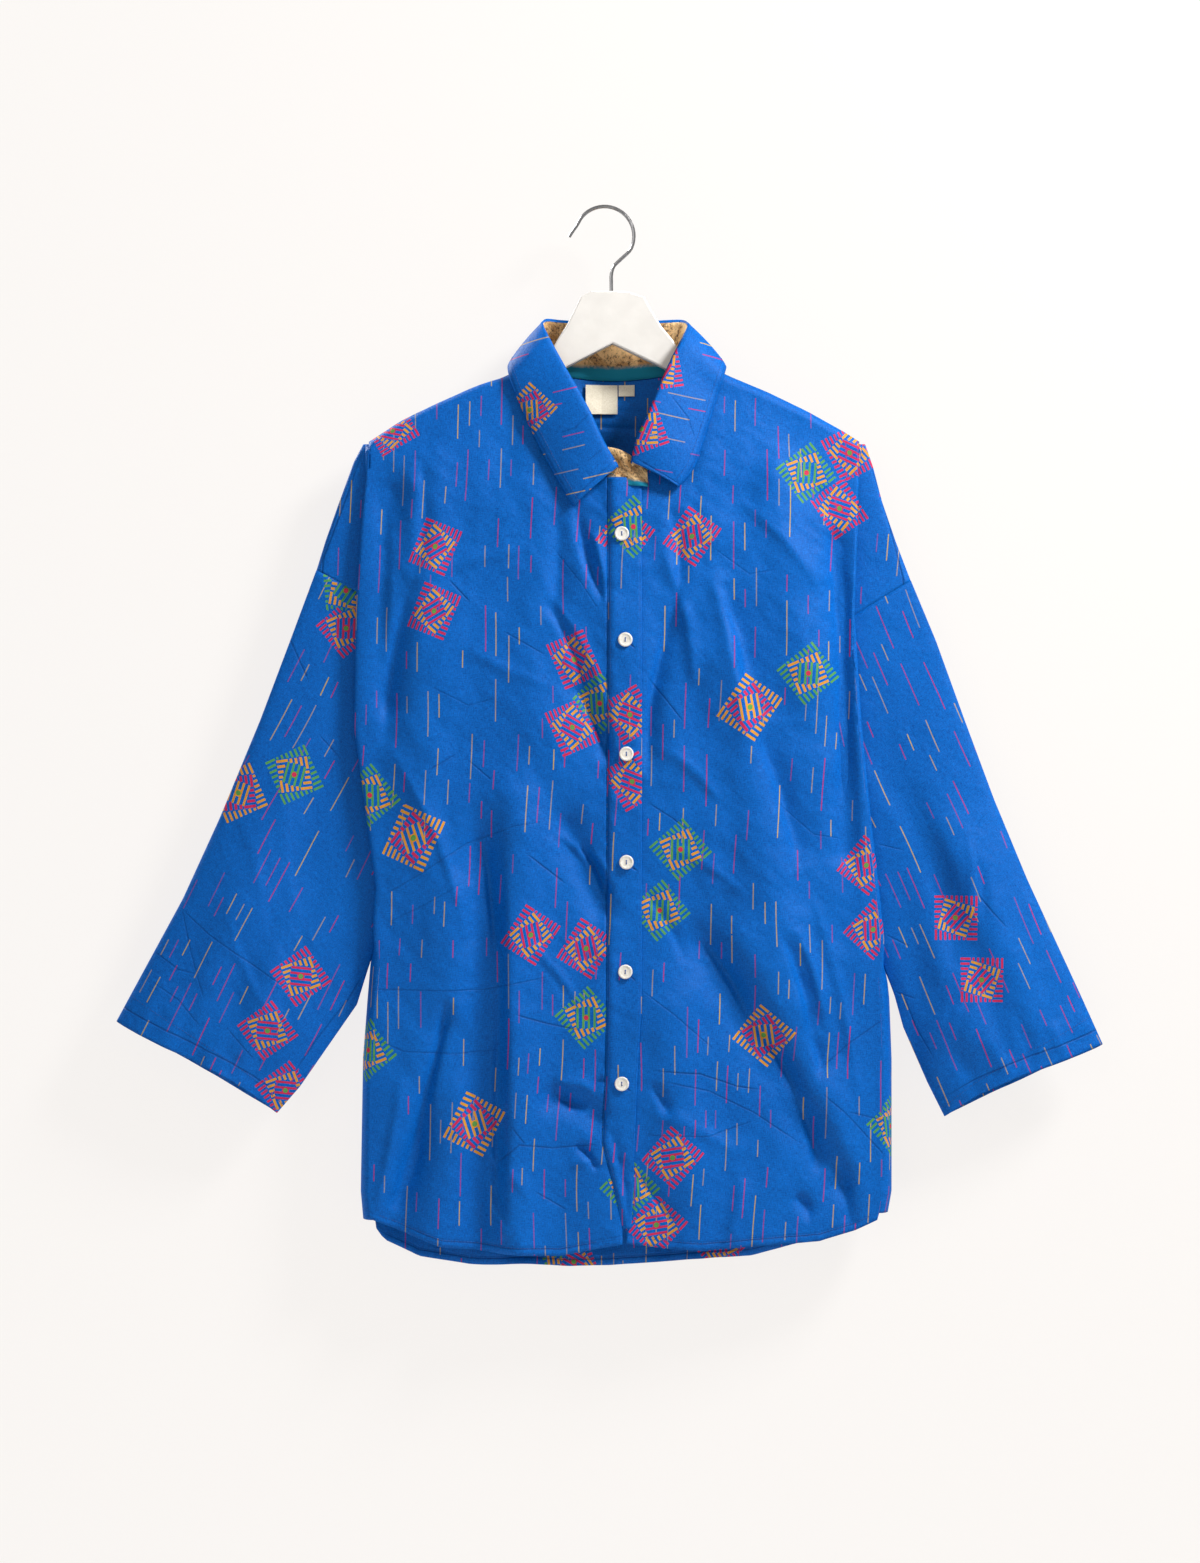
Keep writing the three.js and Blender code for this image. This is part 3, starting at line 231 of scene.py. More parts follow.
sleeveCreases = {
    "right": [(0.62, 0.02, 0.66, 0.45, 0.02, 0.09, -4.0, 0.6), (0.66, 0.4, 0.74, 0.66, 0.02, 0.08, -3.6, 0.6),
              (0.82, 0.08, 0.86, 0.5, 0.02, 0.06, 2.6, 0.6), (0.4, 0.1, 0.46, 0.7, 0.03, 0.08, 1.8, 0.6),
              (0.15, 0.3, 0.6, 0.42, 0.03, 0.03, 1.2, 0.6), (0.2, 0.62, 0.8, 0.7, 0.03, 0.03, 1.3, 0.6),
              (0.3, 0.8, 0.42, 1.0, 0.02, 0.05, -2.2, 0.6), (0.58, 0.84, 0.55, 1.0, 0.02, 0.05, 2.4, 0.6),
              (0.78, 0.66, 0.82, 1.0, 0.02, 0.05, -2.4, 0.6), (0.1, 0.5, 0.5, 0.58, -0.03, 0.03, 1.0, 0.6),
              (0.12, 0.86, 0.16, 1.0, 0.01, 0.04, 2.0, 0.6), (0.68, 0.9, 0.7, 1.0, 0.01, 0.04, -2.4, 0.6)],
    "left": [(0.5, 0.0, 0.52, 0.36, -0.02, 0.08, -3.4, 0.6), (0.52, 0.3, 0.6, 0.56, 0.02, 0.08, -3.2, 0.6),
             (0.34, 0.05, 0.4, 0.6, 0.03, 0.08, 2.0, 0.6), (0.72, 0.1, 0.7, 0.5, 0.02, 0.07, 2.4, 0.6),
             (0.2, 0.42, 0.42, 0.52, 0.03, 0.03, 1.4, 0.6), (0.22, 0.5, 0.34, 0.58, 0.01, 0.03, -2.2, 0.6),
             (0.15, 0.66, 0.75, 0.74, -0.03, 0.04, 1.2, 0.6), (0.78, 0.6, 0.6, 0.68, 0.02, 0.03, -2.0, 0.6),
             (0.4, 0.8, 0.46, 1.0, 0.02, 0.04, -2.4, 0.6), (0.64, 0.8, 0.6, 1.0, 0.02, 0.05, 2.4, 0.6),
             (0.84, 0.7, 0.8, 1.0, 0.02, 0.05, -2.0, 0.6), (0.24, 0.9, 0.26, 1.0, 0.01, 0.03, 2.2, 0.6)],
}


# Fine pressed creases, drawn as dark lines of painted shade: x and height of their points, and their strength
frontMarks = [
    ([(-199, -605), (-164, -585), (-120, -556), (-79, -541), (-55, -537)], 0.5),
    ([(-194, -628), (-154, -608), (-122, -590)], 0.35),
    ([(-207, -683), (-140, -684), (-105, -683), (-88, -679), (-45, -671)], 0.5),
    ([(-199, -727), (-174, -737), (-129, -739), (-90, -735)], 0.45),
    ([(-77, -704), (-50, -712), (-22, -718)], 0.8), ([(-67, -565), (-35, -590)], 0.8),
    ([(-94, -834), (-74, -817), (-45, -820), (-5, -817)], 0.7), ([(-80, -802), (-67, -819)], 0.7),
    ([(-60, -858), (-33, -874)], 0.7), ([(-134, -328), (-117, -346)], 0.7),
    ([(-87, -372), (-52, -392)], 0.5), ([(-117, -485), (-98, -501)], 0.6),
    ([(-152, -492), (-130, -479)], 0.6), ([(-44, -300), (-20, -330), (-6, -352)], 0.35),
    ([(-150, -420), (-118, -436), (-96, -430)], 0.35), ([(37, -411), (51, -428), (68, -450)], 0.6),
    ([(40, -522), (59, -534), (74, -546)], 0.6),
    ([(43, -753), (83, -756), (115, -767), (135, -770)], 0.8),
    ([(51, -762), (91, -771), (130, -790), (170, -817)], 0.6),
    ([(33, -809), (91, -810), (133, -796)], 0.5), ([(190, -774), (210, -791), (245, -829)], 0.6),
    ([(210, -789), (249, -799)], 0.5), ([(190, -750), (213, -730), (242, -710)], 0.6),
    ([(33, -684), (60, -704), (95, -735)], 0.5), ([(96, -300), (126, -322), (148, -318)], 0.35),
    ([(150, -520), (182, -548), (206, -552)], 0.4)]
backMarks = [
    ([(-150, -330), (-112, -348), (-80, -344)], 0.5), ([(-60, -470), (-22, -486), (18, -482)], 0.5),
    ([(60, -360), (98, -386), (150, -392)], 0.6), ([(-170, -600), (-128, -580), (-96, -578)], 0.6),
    ([(20, -620), (62, -640), (110, -634)], 0.5), ([(140, -700), (176, -722), (214, -720)], 0.6),
    ([(-120, -760), (-76, -772), (-30, -764)], 0.7), ([(-10, -850), (34, -838), (70, -842)], 0.6),
    ([(-190, -860), (-150, -846), (-118, -852)], 0.6), ([(150, -480), (182, -462), (204, -466)], 0.5),
    ([(-88, -240), (-62, -256), (-40, -252)], 0.5), ([(40, -262), (76, -280), (104, -276)], 0.5)]
sleeveMarks = {
    "right": [
        ([(-276, -376), (-259, -414)], 0.6), ([(-248, -463), (-230, -483)], 0.6),
        ([(-369, -614), (-343, -637), (-314, -657), (-276, -683)], 0.6),
        ([(-393, -651), (-372, -666), (-355, -670)], 0.6),
        ([(-369, -614), (-361, -651), (-349, -692)], 0.5),
        ([(-395, -677), (-372, -692), (-352, -716)], 0.5), ([(-328, -718), (-306, -744)], 0.6),
        ([(-210, -669), (-224, -692), (-254, -730), (-271, -756)], 0.7)],
    "left": [
        ([(324, -599), (338, -616), (350, -629)], 0.7), ([(248, -637), (266, -646)], 0.6),
        ([(254, -686), (272, -692)], 0.6), ([(240, -557), (261, -562)], 0.5),
        ([(262, -690), (272, -716), (288, -744)], 0.6)],
}


def creaseHeight(creases, a, b):
    # each runs on a bowed line: height * exp(-|d/w|^1.6), with w narrower on one side,
    # faded by sin(pi t)^0.6 along it
    total = np.zeros(np.broadcast(a, b).shape)
    for a0, b0, a1, b1, bow, width, height, second in creases:
        da, db = a1 - a0, b1 - b0
        length = math.hypot(da, db)
        t = ((a - a0) * da + (b - b0) * db) / length**2
        inside = np.clip(t, 0, 1)
        off = ((a - a0) * -db + (b - b0) * da) / length - bow * 4 * inside * (1 - inside)
        wide = np.where(off > 0, width, width * second)
        fade = np.sin(np.pi * inside) ** 0.6 * (np.abs(t - 0.5) <= 0.5)
        total += height * np.exp(-np.abs(off / wide) ** 1.6) * fade
    return total


def softNoise(x, z, cell, seed):  # value noise from -1 to 1, eased between a lattice of cells
    side, shift = 64, 500
    lattice = np.random.default_rng(seed).uniform(-1, 1, (side, side))
    gx, gz = np.broadcast_arrays(np.asarray(x, float) / cell + shift, np.asarray(z, float) / cell + shift)
    ix, iz = np.floor(gx).astype(int), np.floor(gz).astype(int)
    tx, tz = smooth(gx - ix), smooth(gz - iz)
    left, right, low, high = ix % side, (ix + 1) % side, iz % side, (iz + 1) % side
    below = mix(lattice[left, low], lattice[right, low], tx)
    above = mix(lattice[left, high], lattice[right, high], tx)
    return mix(below, above, tz)


# Unevenness of hung cloth. Columns: height, size of its patches, slant, stretch down the cloth
rumples = [(2.6, 44, 0.25, 0.5), (1.3, 20, -0.3, 0.7), (0.42, 9, 0.5, 1)]
puckers = {"seamHeight": 0.8, "seamSize": 8.5, "seamSlant": 0.7, "seamReach": 16,
           "hemHeight": 0.7, "hemSize": 7, "hemSlant": 0.3, "hemReach": 11}
seeds = {"front": 11, "back": 23, "seam": 71, "hem": 73, "sleeveFront": 37, "sleeveBack": 53, "cuff": 61}


def rumple(x, z, seed):
    return sum(height * softNoise(x + slant * z, stretch * z, cell, seed + k)
               for k, (height, cell, slant, stretch) in enumerate(rumples))


def seamPuckers(x, z, seamX):  # short slanting puckers beside a line of stitching
    off = (x - seamX) / puckers["seamReach"]
    slanted = z + puckers["seamSlant"] * (x - seamX)
    wave = softNoise(0 * x + 3 * np.sign(off), slanted, puckers["seamSize"], seeds["seam"])
    return puckers["seamHeight"] * wave * np.exp(-off**2) * np.minimum(np.abs(off) * 3, 1)


def hemPuckers(x, z, hem):
    above = np.clip((z - lookUp(hem, x)) / puckers["hemReach"], 0, 4)
    wave = softNoise(x + puckers["hemSlant"] * z, 0 * z, puckers["hemSize"], seeds["hem"])
    return puckers["hemHeight"] * wave * np.exp(-above**2)


def ridgeZ(x):
    x = np.asarray(x, float)
    return np.where(x < cloth["neckMiddleX"], lookUp(shoulders["right"], x), lookUp(shoulders["left"], x))


def panelDepth(x, z, face, creased=True):
    # over the hanger a quarter circle, then swelling to the full depth, with the folds on top
    below = np.maximum(ridgeZ(x) - z, 0)
    over = np.minimum(below / cloth["ridgeRound"], 1)
    onHanger = cloth["ridgeStandOff"] * np.sqrt(1 - (1 - over) ** 2)
    centre = cloth["frontCentreDepth"] if face < 0 else cloth["backCentreDepth"]
    sideways = np.clip(np.abs(x - cloth["bodyMiddleX"]) / cloth["bodyHalfWidth"], 0, 1)
    full = mix(centre, cloth["edgeDepth"], sideways**2)
    inNeck = smooth(1 - np.abs(x - cloth["neckMiddleX"]) / cloth["neckHalfWidth"])
    swell = np.maximum(smooth(below / cloth["fullDepthDrop"]), inNeck)
    folds = foldHeight(frontFolds if face < 0 else backFolds, x, z)
    if creased:
        creases = creaseHeight(frontCreases if face < 0 else backCreases, x, z)
        folds = cloth["foldGain"] * folds + cloth["creaseGain"] * creases
        folds = folds + rumple(x, z, seeds["front"] if face < 0 else seeds["back"])
        if face < 0:
            folds = folds + seamPuckers(x, z, lookUp(placketEdges, z))
        folds = folds + hemPuckers(x, z, frontHem if face < 0 else backHem)
    atEdge = smooth((cloth["bodyHalfWidth"] - np.abs(x - cloth["bodyMiddleX"])) / cloth["calmEdge"])
    extra = (full - cloth["ridgeStandOff"]) * swell
    extra = extra + folds * smooth(below / cloth["foldsFullDrop"]) * atEdge
    return onHanger + np.maximum(extra, 0)  # no fold sinks into the hanger


def foldEdgeX(name, face, z):
    arm = armholes[name]
    blend = smooth((arm["armpitZ"] + cloth["armpitBlend"] - z) / cloth["armpitBlend"])
    inset = cloth["backInset"] * (1 - blend) if face > 0 else 0
    return lookUp(sideFolds, z, 1 if name == "right" else 2) - arm["out"] * inset


fineRows = np.interp(np.linspace(0, len(rowShares) - 1, (len(rowShares) - 1) * cloth["rowsPerStep"] + 1),
                     np.arange(len(rowShares)), rowShares)
seamFine = seamRow * cloth["rowsPerStep"]
armpitFine = armpitRow * cloth["rowsPerStep"]


def sideColumns(name, face, count):
    # turn back at the fold, run in, turn out again; below the armpit only round to the side seam
    arm = armholes[name]
    heights = [(0, sleeveOuter[name][0][1]), (rowShares[seamRow], arm["cornerZ"]),
               (rowShares[armpitRow], arm["armpitZ"]), (1, arm["hemZ"])]
    z = lookUp(heights, fineRows)
    opened = 1 - smooth((sleeveOuter[name][0][1] - cloth["foldStart"] - z) / cloth["foldOpening"])
    closed = smooth((arm["armpitZ"] + cloth["armpitBlend"] - z) / cloth["armpitBlend"])
    foldX = foldEdgeX(name, face, z)
    turn = mix(cloth["foldRadius"], cloth["sideRound"], closed)
    depth = panelDepth(foldX - arm["out"] * turn, z, face)
    depth = depth * np.sqrt(np.clip((z[0] - z) / cloth["tipRound"], 0, 1))  # closed over the hanger's tip
    shallowRun = cloth["foldShallowing"] - cloth["armpitBlend"] / 2
    shallow = smooth((arm["armpitZ"] + cloth["foldShallowing"] - z) / shallowRun)
    inDepth = mix(cloth["foldDepth"], cloth["foldDepthLow"], shallow)
    wall, seamHalf = cloth["doubleWall"], cloth["seamHalf"]
    inner = np.minimum(1, (depth - wall) / (2 * cloth["foldRadius"] + 2 * cloth["returnRadius"] + wall))
    r1, r2 = cloth["foldRadius"] * inner, cloth["returnRadius"] * inner
    turnedP = [-r1, -r1 * 0.3, 0 * r1, -r1, -inDepth / 2 - r1 / 2, -inDepth, -inDepth - r2, -inDepth]
    turnedQ = [0 * r1, r1 * 0.3, r1, 2 * r1, 2 * r1, 2 * r1, 2 * r1 + r2, 2 * r1 + 2 * r2]
    ps, qs = [], []
    for k, (foldP, foldQ) in enumerate(zip(turnedP, turnedQ)):
        share = k / 7
        angle = share * math.pi / 2
        flatP, flatQ = mix(-turn, 1, share), (depth - 0.3) * (1 - math.sqrt(1 - (0.9 * share) ** 2))
        seamP, seamQ = -turn * (1 - math.sin(angle)), (depth - seamHalf) * (1 - math.cos(angle))
        ps.append(mix(mix(foldP, flatP, opened), seamP, closed))
        qs.append(mix(mix(foldQ, flatQ, opened), seamQ, closed))
    weights = splineWeights(8, np.linspace(0, 7, count + 1)[1:])
    p, q = weights @ np.array(ps), weights @ np.array(qs)
    least = mix(mix(cloth["pressedHalf"], cloth["edgeHalf"], opened), seamHalf, closed)
    y = face * np.maximum(depth - q, least)
    return np.stack([foldX + arm["out"] * p, y, np.broadcast_to(z, p.shape)], -1)


def mainColumns(name, face, tops, centreX, hem, count):
    # column i starts at share i of the neck and shoulder line and fans out to an even share of the width
    arm = armholes[name]
    tops = np.array(tops, float)
    share = np.linspace(0, 1, count)
    start = splineWeights(len(tops), share * (len(tops) - 1)) @ tops
    topX, topZ = start[:, :1], start[:, 1:]
    down = fineRows[None, :]
    spread = smooth(down / cloth["fanOut"])
    x, z = topX + 0 * down, topZ + 0 * down
    share = share[:, None]
    for _ in range(3):
        low = smooth((arm["armpitZ"] + cloth["armpitBlend"] - z) / cloth["armpitBlend"])
        turn = mix(cloth["foldRadius"], cloth["sideRound"], low)
        edge = foldEdgeX(name, face, z) - arm["out"] * turn
        even = mix(centreX(z), edge, share)
        x = mix(topX, even, spread)
        x[-1] = edge[-1]
        z = mix(topZ, lookUp(hem, x), down)
    depth = np.maximum(panelDepth(x, z, face), cloth["ridgeSeam"])
    pastNeck = (topX[:, 0] - shoulders[name][0][0]) * arm["out"] > 0
    depth[pastNeck, 0] = cloth["ridgeSeam"]
    return np.stack([x, face * depth, z], -1)


def capColumns(name, face, edge, count):
    outline = sleeveOuter[name][:capOutlineRows + 1]
    inner = edge[:seamFine + 1]
    outX, outZ = alongLine(outline, fineRows[:seamFine + 1] / rowShares[seamRow])
    share = np.linspace(0, 1, count + 1)[1:, None]
    y = np.maximum(np.abs(inner[:, 1]) * np.sqrt(1 - share**2), cloth["edgeHalf"])
    return np.stack([mix(inner[:, 0], outX, share), face * y, mix(inner[:, 2], outZ, share)], -1)


sides = {}
for sideName in ("right", "left"):
    for faceSign in (-1, 1):
        sideGrid = sideColumns(sideName, faceSign, 28)
        sides[sideName, faceSign] = sideGrid, capColumns(sideName, faceSign, sideGrid[-1], 16)
print("side folds and dropped shoulders worked out")


sleeveShape = {"places": 12, "capPlaces": 4, "cuffRise": 11, "easeOuter": 3, "easeInner": 12,
               "swellFrom": (0.08, 0.3), "swellRun": 0.5, "creaseGain": 1.3,
               "cuffFrom": 0.9, "cuffPucker": 1.3, "cuffPuckerSize": 13}


def sleeveGrid(name, across, down):
    # for each layer S(w, v) is a Coons patch of armhole, cuff, outer line and underarm line,
    # opened by an oval in w
    outer, inner = sleeveOuter[name][capOutlineRows:], sleeveInner[name]
    last, capPlaces = sleeveShape["places"], sleeveShape["capPlaces"]
    layers = []
    for face in (-1, 1):
        edge, cap = sides[name, face]
        seam = cap[::-1, seamFine]
        armEdge = edge[-1, seamFine:armpitFine - cloth["rowsPerStep"] + 1]
        end = np.array([[inner[0][0], 0, inner[0][1]]])
        ring = np.concatenate([seam, armEdge, end])
        place = np.concatenate([np.linspace(0, capPlaces, len(seam), endpoint=False),
                                capPlaces + (np.arange(len(armEdge)) / cloth["rowsPerStep"]), [last]]) / last
        w = (1 - np.cos(np.linspace(0, np.pi, across + 1))) / 2
        ring = np.stack([np.interp(w, place, ring[:, k]) for k in range(3)], -1)
        ring[0, 1] = 0
        layers.append((face, w[:, None], ring))
    v = np.linspace(0, 1, down + 1)[None, :]
    oX, oZ = alongLine(outer, v[0])
    iX, iZ = alongLine(inner, v[0])
    grids = []
    for face, w, ring in layers:
        cuffX, cuffZ = mix(outer[-1][0], inner[-1][0], w), mix(outer[-1][1], inner[-1][1], w)
        cuffZ = cuffZ + (sleeveShape["cuffRise"] * w * w * (1 - w) * 4 if face < 0 else 0)
        curved = (1 - v) ** mix(sleeveShape["easeOuter"], sleeveShape["easeInner"], w * w)

        def patch(ringEnd, cuff, o, i, r0, r1):
            straight = mix(r0, r1, w)
            borders = (1 - v) * straight + v * cuff + (1 - w) * o + w * i
            corners = (1 - w) * (1 - v) * r0 + (1 - w) * v * o[-1] + w * (1 - v) * r1 + w * v * i[-1]
            return borders - corners + curved * (ringEnd[:, None] - straight)

        x = patch(ring[:, 0], cuffX, oX, iX, ring[0, 0], inner[0][0])
        z = patch(ring[:, 2], cuffZ, oZ, iZ, ring[0, 2], inner[0][1])
        oval = np.sqrt(np.maximum(1 - (2 * w - 1) ** 2, 0))
        allW, allV = np.broadcast_arrays(w, v)
        folds = foldHeight(sleeveFolds, allW, allV)
        folds = folds + sleeveShape["creaseGain"] * creaseHeight(sleeveCreases[name], allW, allV)
        swell = smooth((v - mix(*sleeveShape["swellFrom"], w**3)) / sleeveShape["swellRun"])
        uneven = rumple(x, z, seeds["sleeveFront"] if face < 0 else seeds["sleeveBack"])
        puckered = sleeveShape["cuffPucker"] * softNoise(x, z, sleeveShape["cuffPuckerSize"], seeds["cuff"])
        uneven = uneven + puckered * smooth((v - sleeveShape["cuffFrom"]) * 10)
        full = (lookUp(sleeveDepths, v) + folds + uneven) * oval
        depth = mix(np.abs(ring[:, 1])[:, None], full, swell)
        grids.append(np.stack([x, face * depth, z], -1))
    front, back = grids  # from the underarm over the outer line and back to the underarm
    return np.concatenate([front[::-1], back[1:]])


# Printed repeat. Columns: place x, place z, colours (0 crimson, 1 green, 2 gold), turn in degrees, mirrored,
# width and height as shares of the plain size
motifSize = {
    "reach": 30, "margin": 8, "away": 0.9,
    "outer": {"half": 18.8, "count": 7, "pitch": 4.2, "duty": 0.47, "long": 9.0, "taper": 1.13, "ease": 0.0},
    "inner": {"half": 13.3, "count": 4, "pitch": 4.3, "duty": 0.5, "long": 9.9, "taper": 3.5, "ease": 0.45},
    "innerTurn": 16, "lineTurn": 42, "lineHalf": 0.95, "lines": [(2.35, 9.3), (7.1, 8.8)],
    "cross": 2.9, "dot": 2.1,
}
frontMotifs = [
    (-147, -298, 0, -22, 0, 0.9, 1.11), (-148, -354, 0, -22, 0, 0.9, 1.1),
    (-26.5, -396, 0, 23, 1, 0.92, 1.12), (-28, -455, 0, 23, 1, 0.92, 1.1),
    (-4, -434, 1, 45, 0, 1, 1.06), (-166, -551, 2, 66, 0, 1.27, 1.05), (-204.5, -514, 1, 40, 0, 1, 1.1),
    (-64, -635, 0, 57, 0, 1.08, 0.95), (-16, -647, 0, 58, 0, 1.08, 0.95),
    (-16, -707, 1, 42, 0, 1.04, 1.04), (-113, -800, 2, 63, 0, 1.18, 1.03),
    (-208, -736, 1, 40, 0, 1, 1.1), (-185, -196, 0, 30, 1, 1, 0.8), (18, -288, 0, 55, 0, 1, 1),
    (76, -289, 0, 55, 0, 1.07, 0.93), (176, -233, 1, 38, 0, 1.05, 1.02),
    (214, -215, 0, 27, 1, 0.95, 1.1), (205, -264, 0, 33, 1, 0.95, 1.1),
    (126, -437.5, 2, 56, 0, 1.2, 1.05), (177, -408, 1, 39, 0, 1.06, 1.04),
    (66, -561, 1, 41, 0, 1.03, 1.04), (48, -614, 1, 40, 0, 1.02, 1.02),
    (228, -575, 0, 52, 0, 1.05, 0.95), (234, -631, 0, 48, 0, 1.05, 0.95),
    (138.7, -723, 2, 51, 0, 1.05, 1.05), (59, -828, 0, -40, 0, 1, 1.08), (45, -887, 0, -41, 0, 1, 1.08),
    (22, -855, 1, 45, 0, 1, 1), (255, -803, 1, 42, 0, 1, 1.06)]
placketMotifs = [
    (25, -281, 1, 44, 0, 1.02, 1.06), (22, -444, 0, 30, 1, 0.95, 1.08), (24, -502, 0, 30, 1, 0.95, 1.08)]
backMotifs = [(-27, -925, 0, 22, 1, 0.95, 1.08), (100, -909, 0, 44, 0, 1, 1)]
collarMotifs = [
    (-65, -179, 2, 47, 0, 0.95, 0.9), (48, -143, 0, 10, 0, 0.95, 1), (32, -197, 0, 20, 0, 1, 1.02)]
sleeveMotifs = {
    "right": [
        (-320, -512, 2, 24, 0, 1.05, 1.08), (-271, -496, 1, 25, 0, 1, 1.08),
        (-265, -672, 0, -54, 0, 1.02, 1), (-293.6, -719, 0, -54, 0, 1.02, 1),
        (-279, -772, 0, -54, 0, 1.02, 1), (-226, -335, 1, 5, 0, 1, 1.08), (-226, -368, 0, 40, 0, 1, 1)],
    "left": [
        (306.7, -621, 0, 0, 0, 0.97, 1.03), (329, -675, 0, 0, 0, 0.97, 1.03)],
}
scatter = {"column": 122, "row": 118, "start": 30, "stagger": 61, "shift": 27, "gap": 60}
spare = np.random.default_rng(41)


def scatterMotifs(low, high, taken):
    # a staggered repeat with small shifts, for the parts that the front view doesn't show
    found = []
    for row in range(int((high[1] - low[1]) / scatter["row"]) + 1):
        for col in range(int((high[0] - low[0]) / scatter["column"]) + 1):
            shift = spare.uniform(-scatter["shift"], scatter["shift"], 2)
            x = low[0] + scatter["start"] + col * scatter["column"] + row % 2 * scatter["stagger"] + shift[0]
            z = low[1] + scatter["start"] + row * scatter["row"] + shift[1]
            kind = int(spare.integers(0, 3))
            turn = float(spare.uniform(18, 48))
            wide = float(spare.uniform(0.9, 1.08))
            single = spare.uniform() < 0.62
            clear = all(math.hypot(x - m[0], z - m[1]) > scatter["gap"] for m in taken)
            if x < high[0] and z < high[1] and clear:
                found.append((x, z, kind, turn, kind == 0, wide, 1.08))
                if not single:  # a second one touching it
                    found.append((x + 24 - 6 * (row % 3), z - 44, (kind + 1) % 2, turn - 5, False, 1.0, 1.05))
    return found


backMotifs += scatterMotifs((-215, -905), (250, -150), backMotifs)
farMotifs = {name: scatterMotifs((-150, -560), (150, 30), []) for name in ("right", "left")}


def makeMesh(name, points, faces, layers):
    mesh = bpy.data.meshes.new(name)
    mesh.vertices.add(len(points))
    mesh.vertices.foreach_set("co", (points * mm).astype(np.float32).ravel())
    mesh.loops.add(faces.size)
    mesh.loops.foreach_set("vertex_index", faces.astype(np.int32).ravel())
    mesh.polygons.add(len(faces))
    mesh.polygons.foreach_set("loop_start", np.arange(0, faces.size, faces.shape[1], dtype=np.int32))
    mesh.polygons.foreach_set("loop_total", np.full(len(faces), faces.shape[1], np.int32))
    mesh.polygons.foreach_set("use_smooth", np.ones(len(faces), bool))
    for layer, values in layers.items():
        uv = mesh.uv_layers.new(name=layer)
        uv.data.foreach_set("uv", values.astype(np.float32).ravel())
    mesh.update()
    mesh.validate()
    obj = bpy.data.objects.new(name, mesh)
    bpy.context.collection.objects.link(obj)
    return obj


def motifLayers(uv, motifs):
    # local place in the nearest motif, and its colours, the same for all corners of a face
    local = np.full(uv.shape, motifSize["away"])
    kind = np.zeros(uv.shape)
    if len(motifs):
        table = np.array(motifs, float)
        middle = uv.mean(1)
        away = np.hypot(middle[:, None, 0] - table[None, :, 0], middle[:, None, 1] - table[None, :, 1])
        nearest = away.argmin(1)
        near = away.min(1) < motifSize["reach"] + motifSize["margin"]
        chosen = table[nearest]
        off = uv - chosen[:, None, :2]
        turn = np.radians(chosen[:, 3])[:, None]
        a = off[..., 0] * np.cos(turn) + off[..., 1] * np.sin(turn)
        b = -off[..., 0] * np.sin(turn) + off[..., 1] * np.cos(turn)
        a = np.where(chosen[:, 4:5] < 0.5, -a, a)
        found = np.stack([a / chosen[:, 5:6], b / chosen[:, 6:7]], -1) * mm
        local = np.where(near[:, None, None], found, local)
        kind[..., 0] = (chosen[:, 2:3] + 0.5) / 4
    return {"motif": local, "kind": kind}


markSize = {"reach": 9, "away": 0.05, "endRate": 7, "faintest": 0.15, "pastEnd": 4}


def markLayer(uv, marks):
    # signed distance of each corner to its face's nearest line, and that line's strength, faded at its ends
    values = np.zeros(uv.shape)
    values[..., 0] = markSize["away"]
    if not marks:
        return {"mark": values}
    segments = []
    for line, strength in marks:
        line = np.array(line, float)
        run = np.concatenate([[0], np.cumsum(np.hypot(*np.diff(line, axis=0).T))])
        for k in range(len(line) - 1):
            segments.append((*line[k], *line[k + 1], strength, run[k], run[-1]))
    table = np.array(segments)
    start, end = table[:, :2], table[:, 2:4]
    along = end - start
    length = np.hypot(along[:, 0], along[:, 1])
    unit = along / length[:, None]
    middle = uv.mean(1)
    nearest = np.zeros(len(uv), int)
    least = np.full(len(uv), np.inf)
    for k in range(len(table)):
        off = middle - start[k]
        t = np.clip(off @ unit[k], 0, length[k])
        away = np.hypot(*(off - t[:, None] * unit[k]).T)
        closer = away < least
        nearest[closer], least[closer] = k, away[closer]
    near = least < markSize["reach"]
    off = uv - start[nearest][:, None, :]
    across = off[..., 1] * unit[nearest][:, None, 0] - off[..., 0] * unit[nearest][:, None, 1]
    t = (off * unit[nearest][:, None, :]).sum(-1)
    place = (table[nearest, 5][:, None] + t) / table[nearest, 6][:, None]
    beyond = np.maximum(np.maximum(-t, t - length[nearest][:, None]), 0)
    fade = np.clip(np.minimum(place, 1 - place) * markSize["endRate"] + markSize["faintest"], 0, 1)
    fade = fade * np.clip(1 - beyond / markSize["pastEnd"], 0, 1)
    values[..., 0] = np.where(near[:, None], across * mm, markSize["away"])
    values[..., 1] = np.where(near[:, None], fade * table[nearest, 4][:, None], 0)
    return {"mark": values}


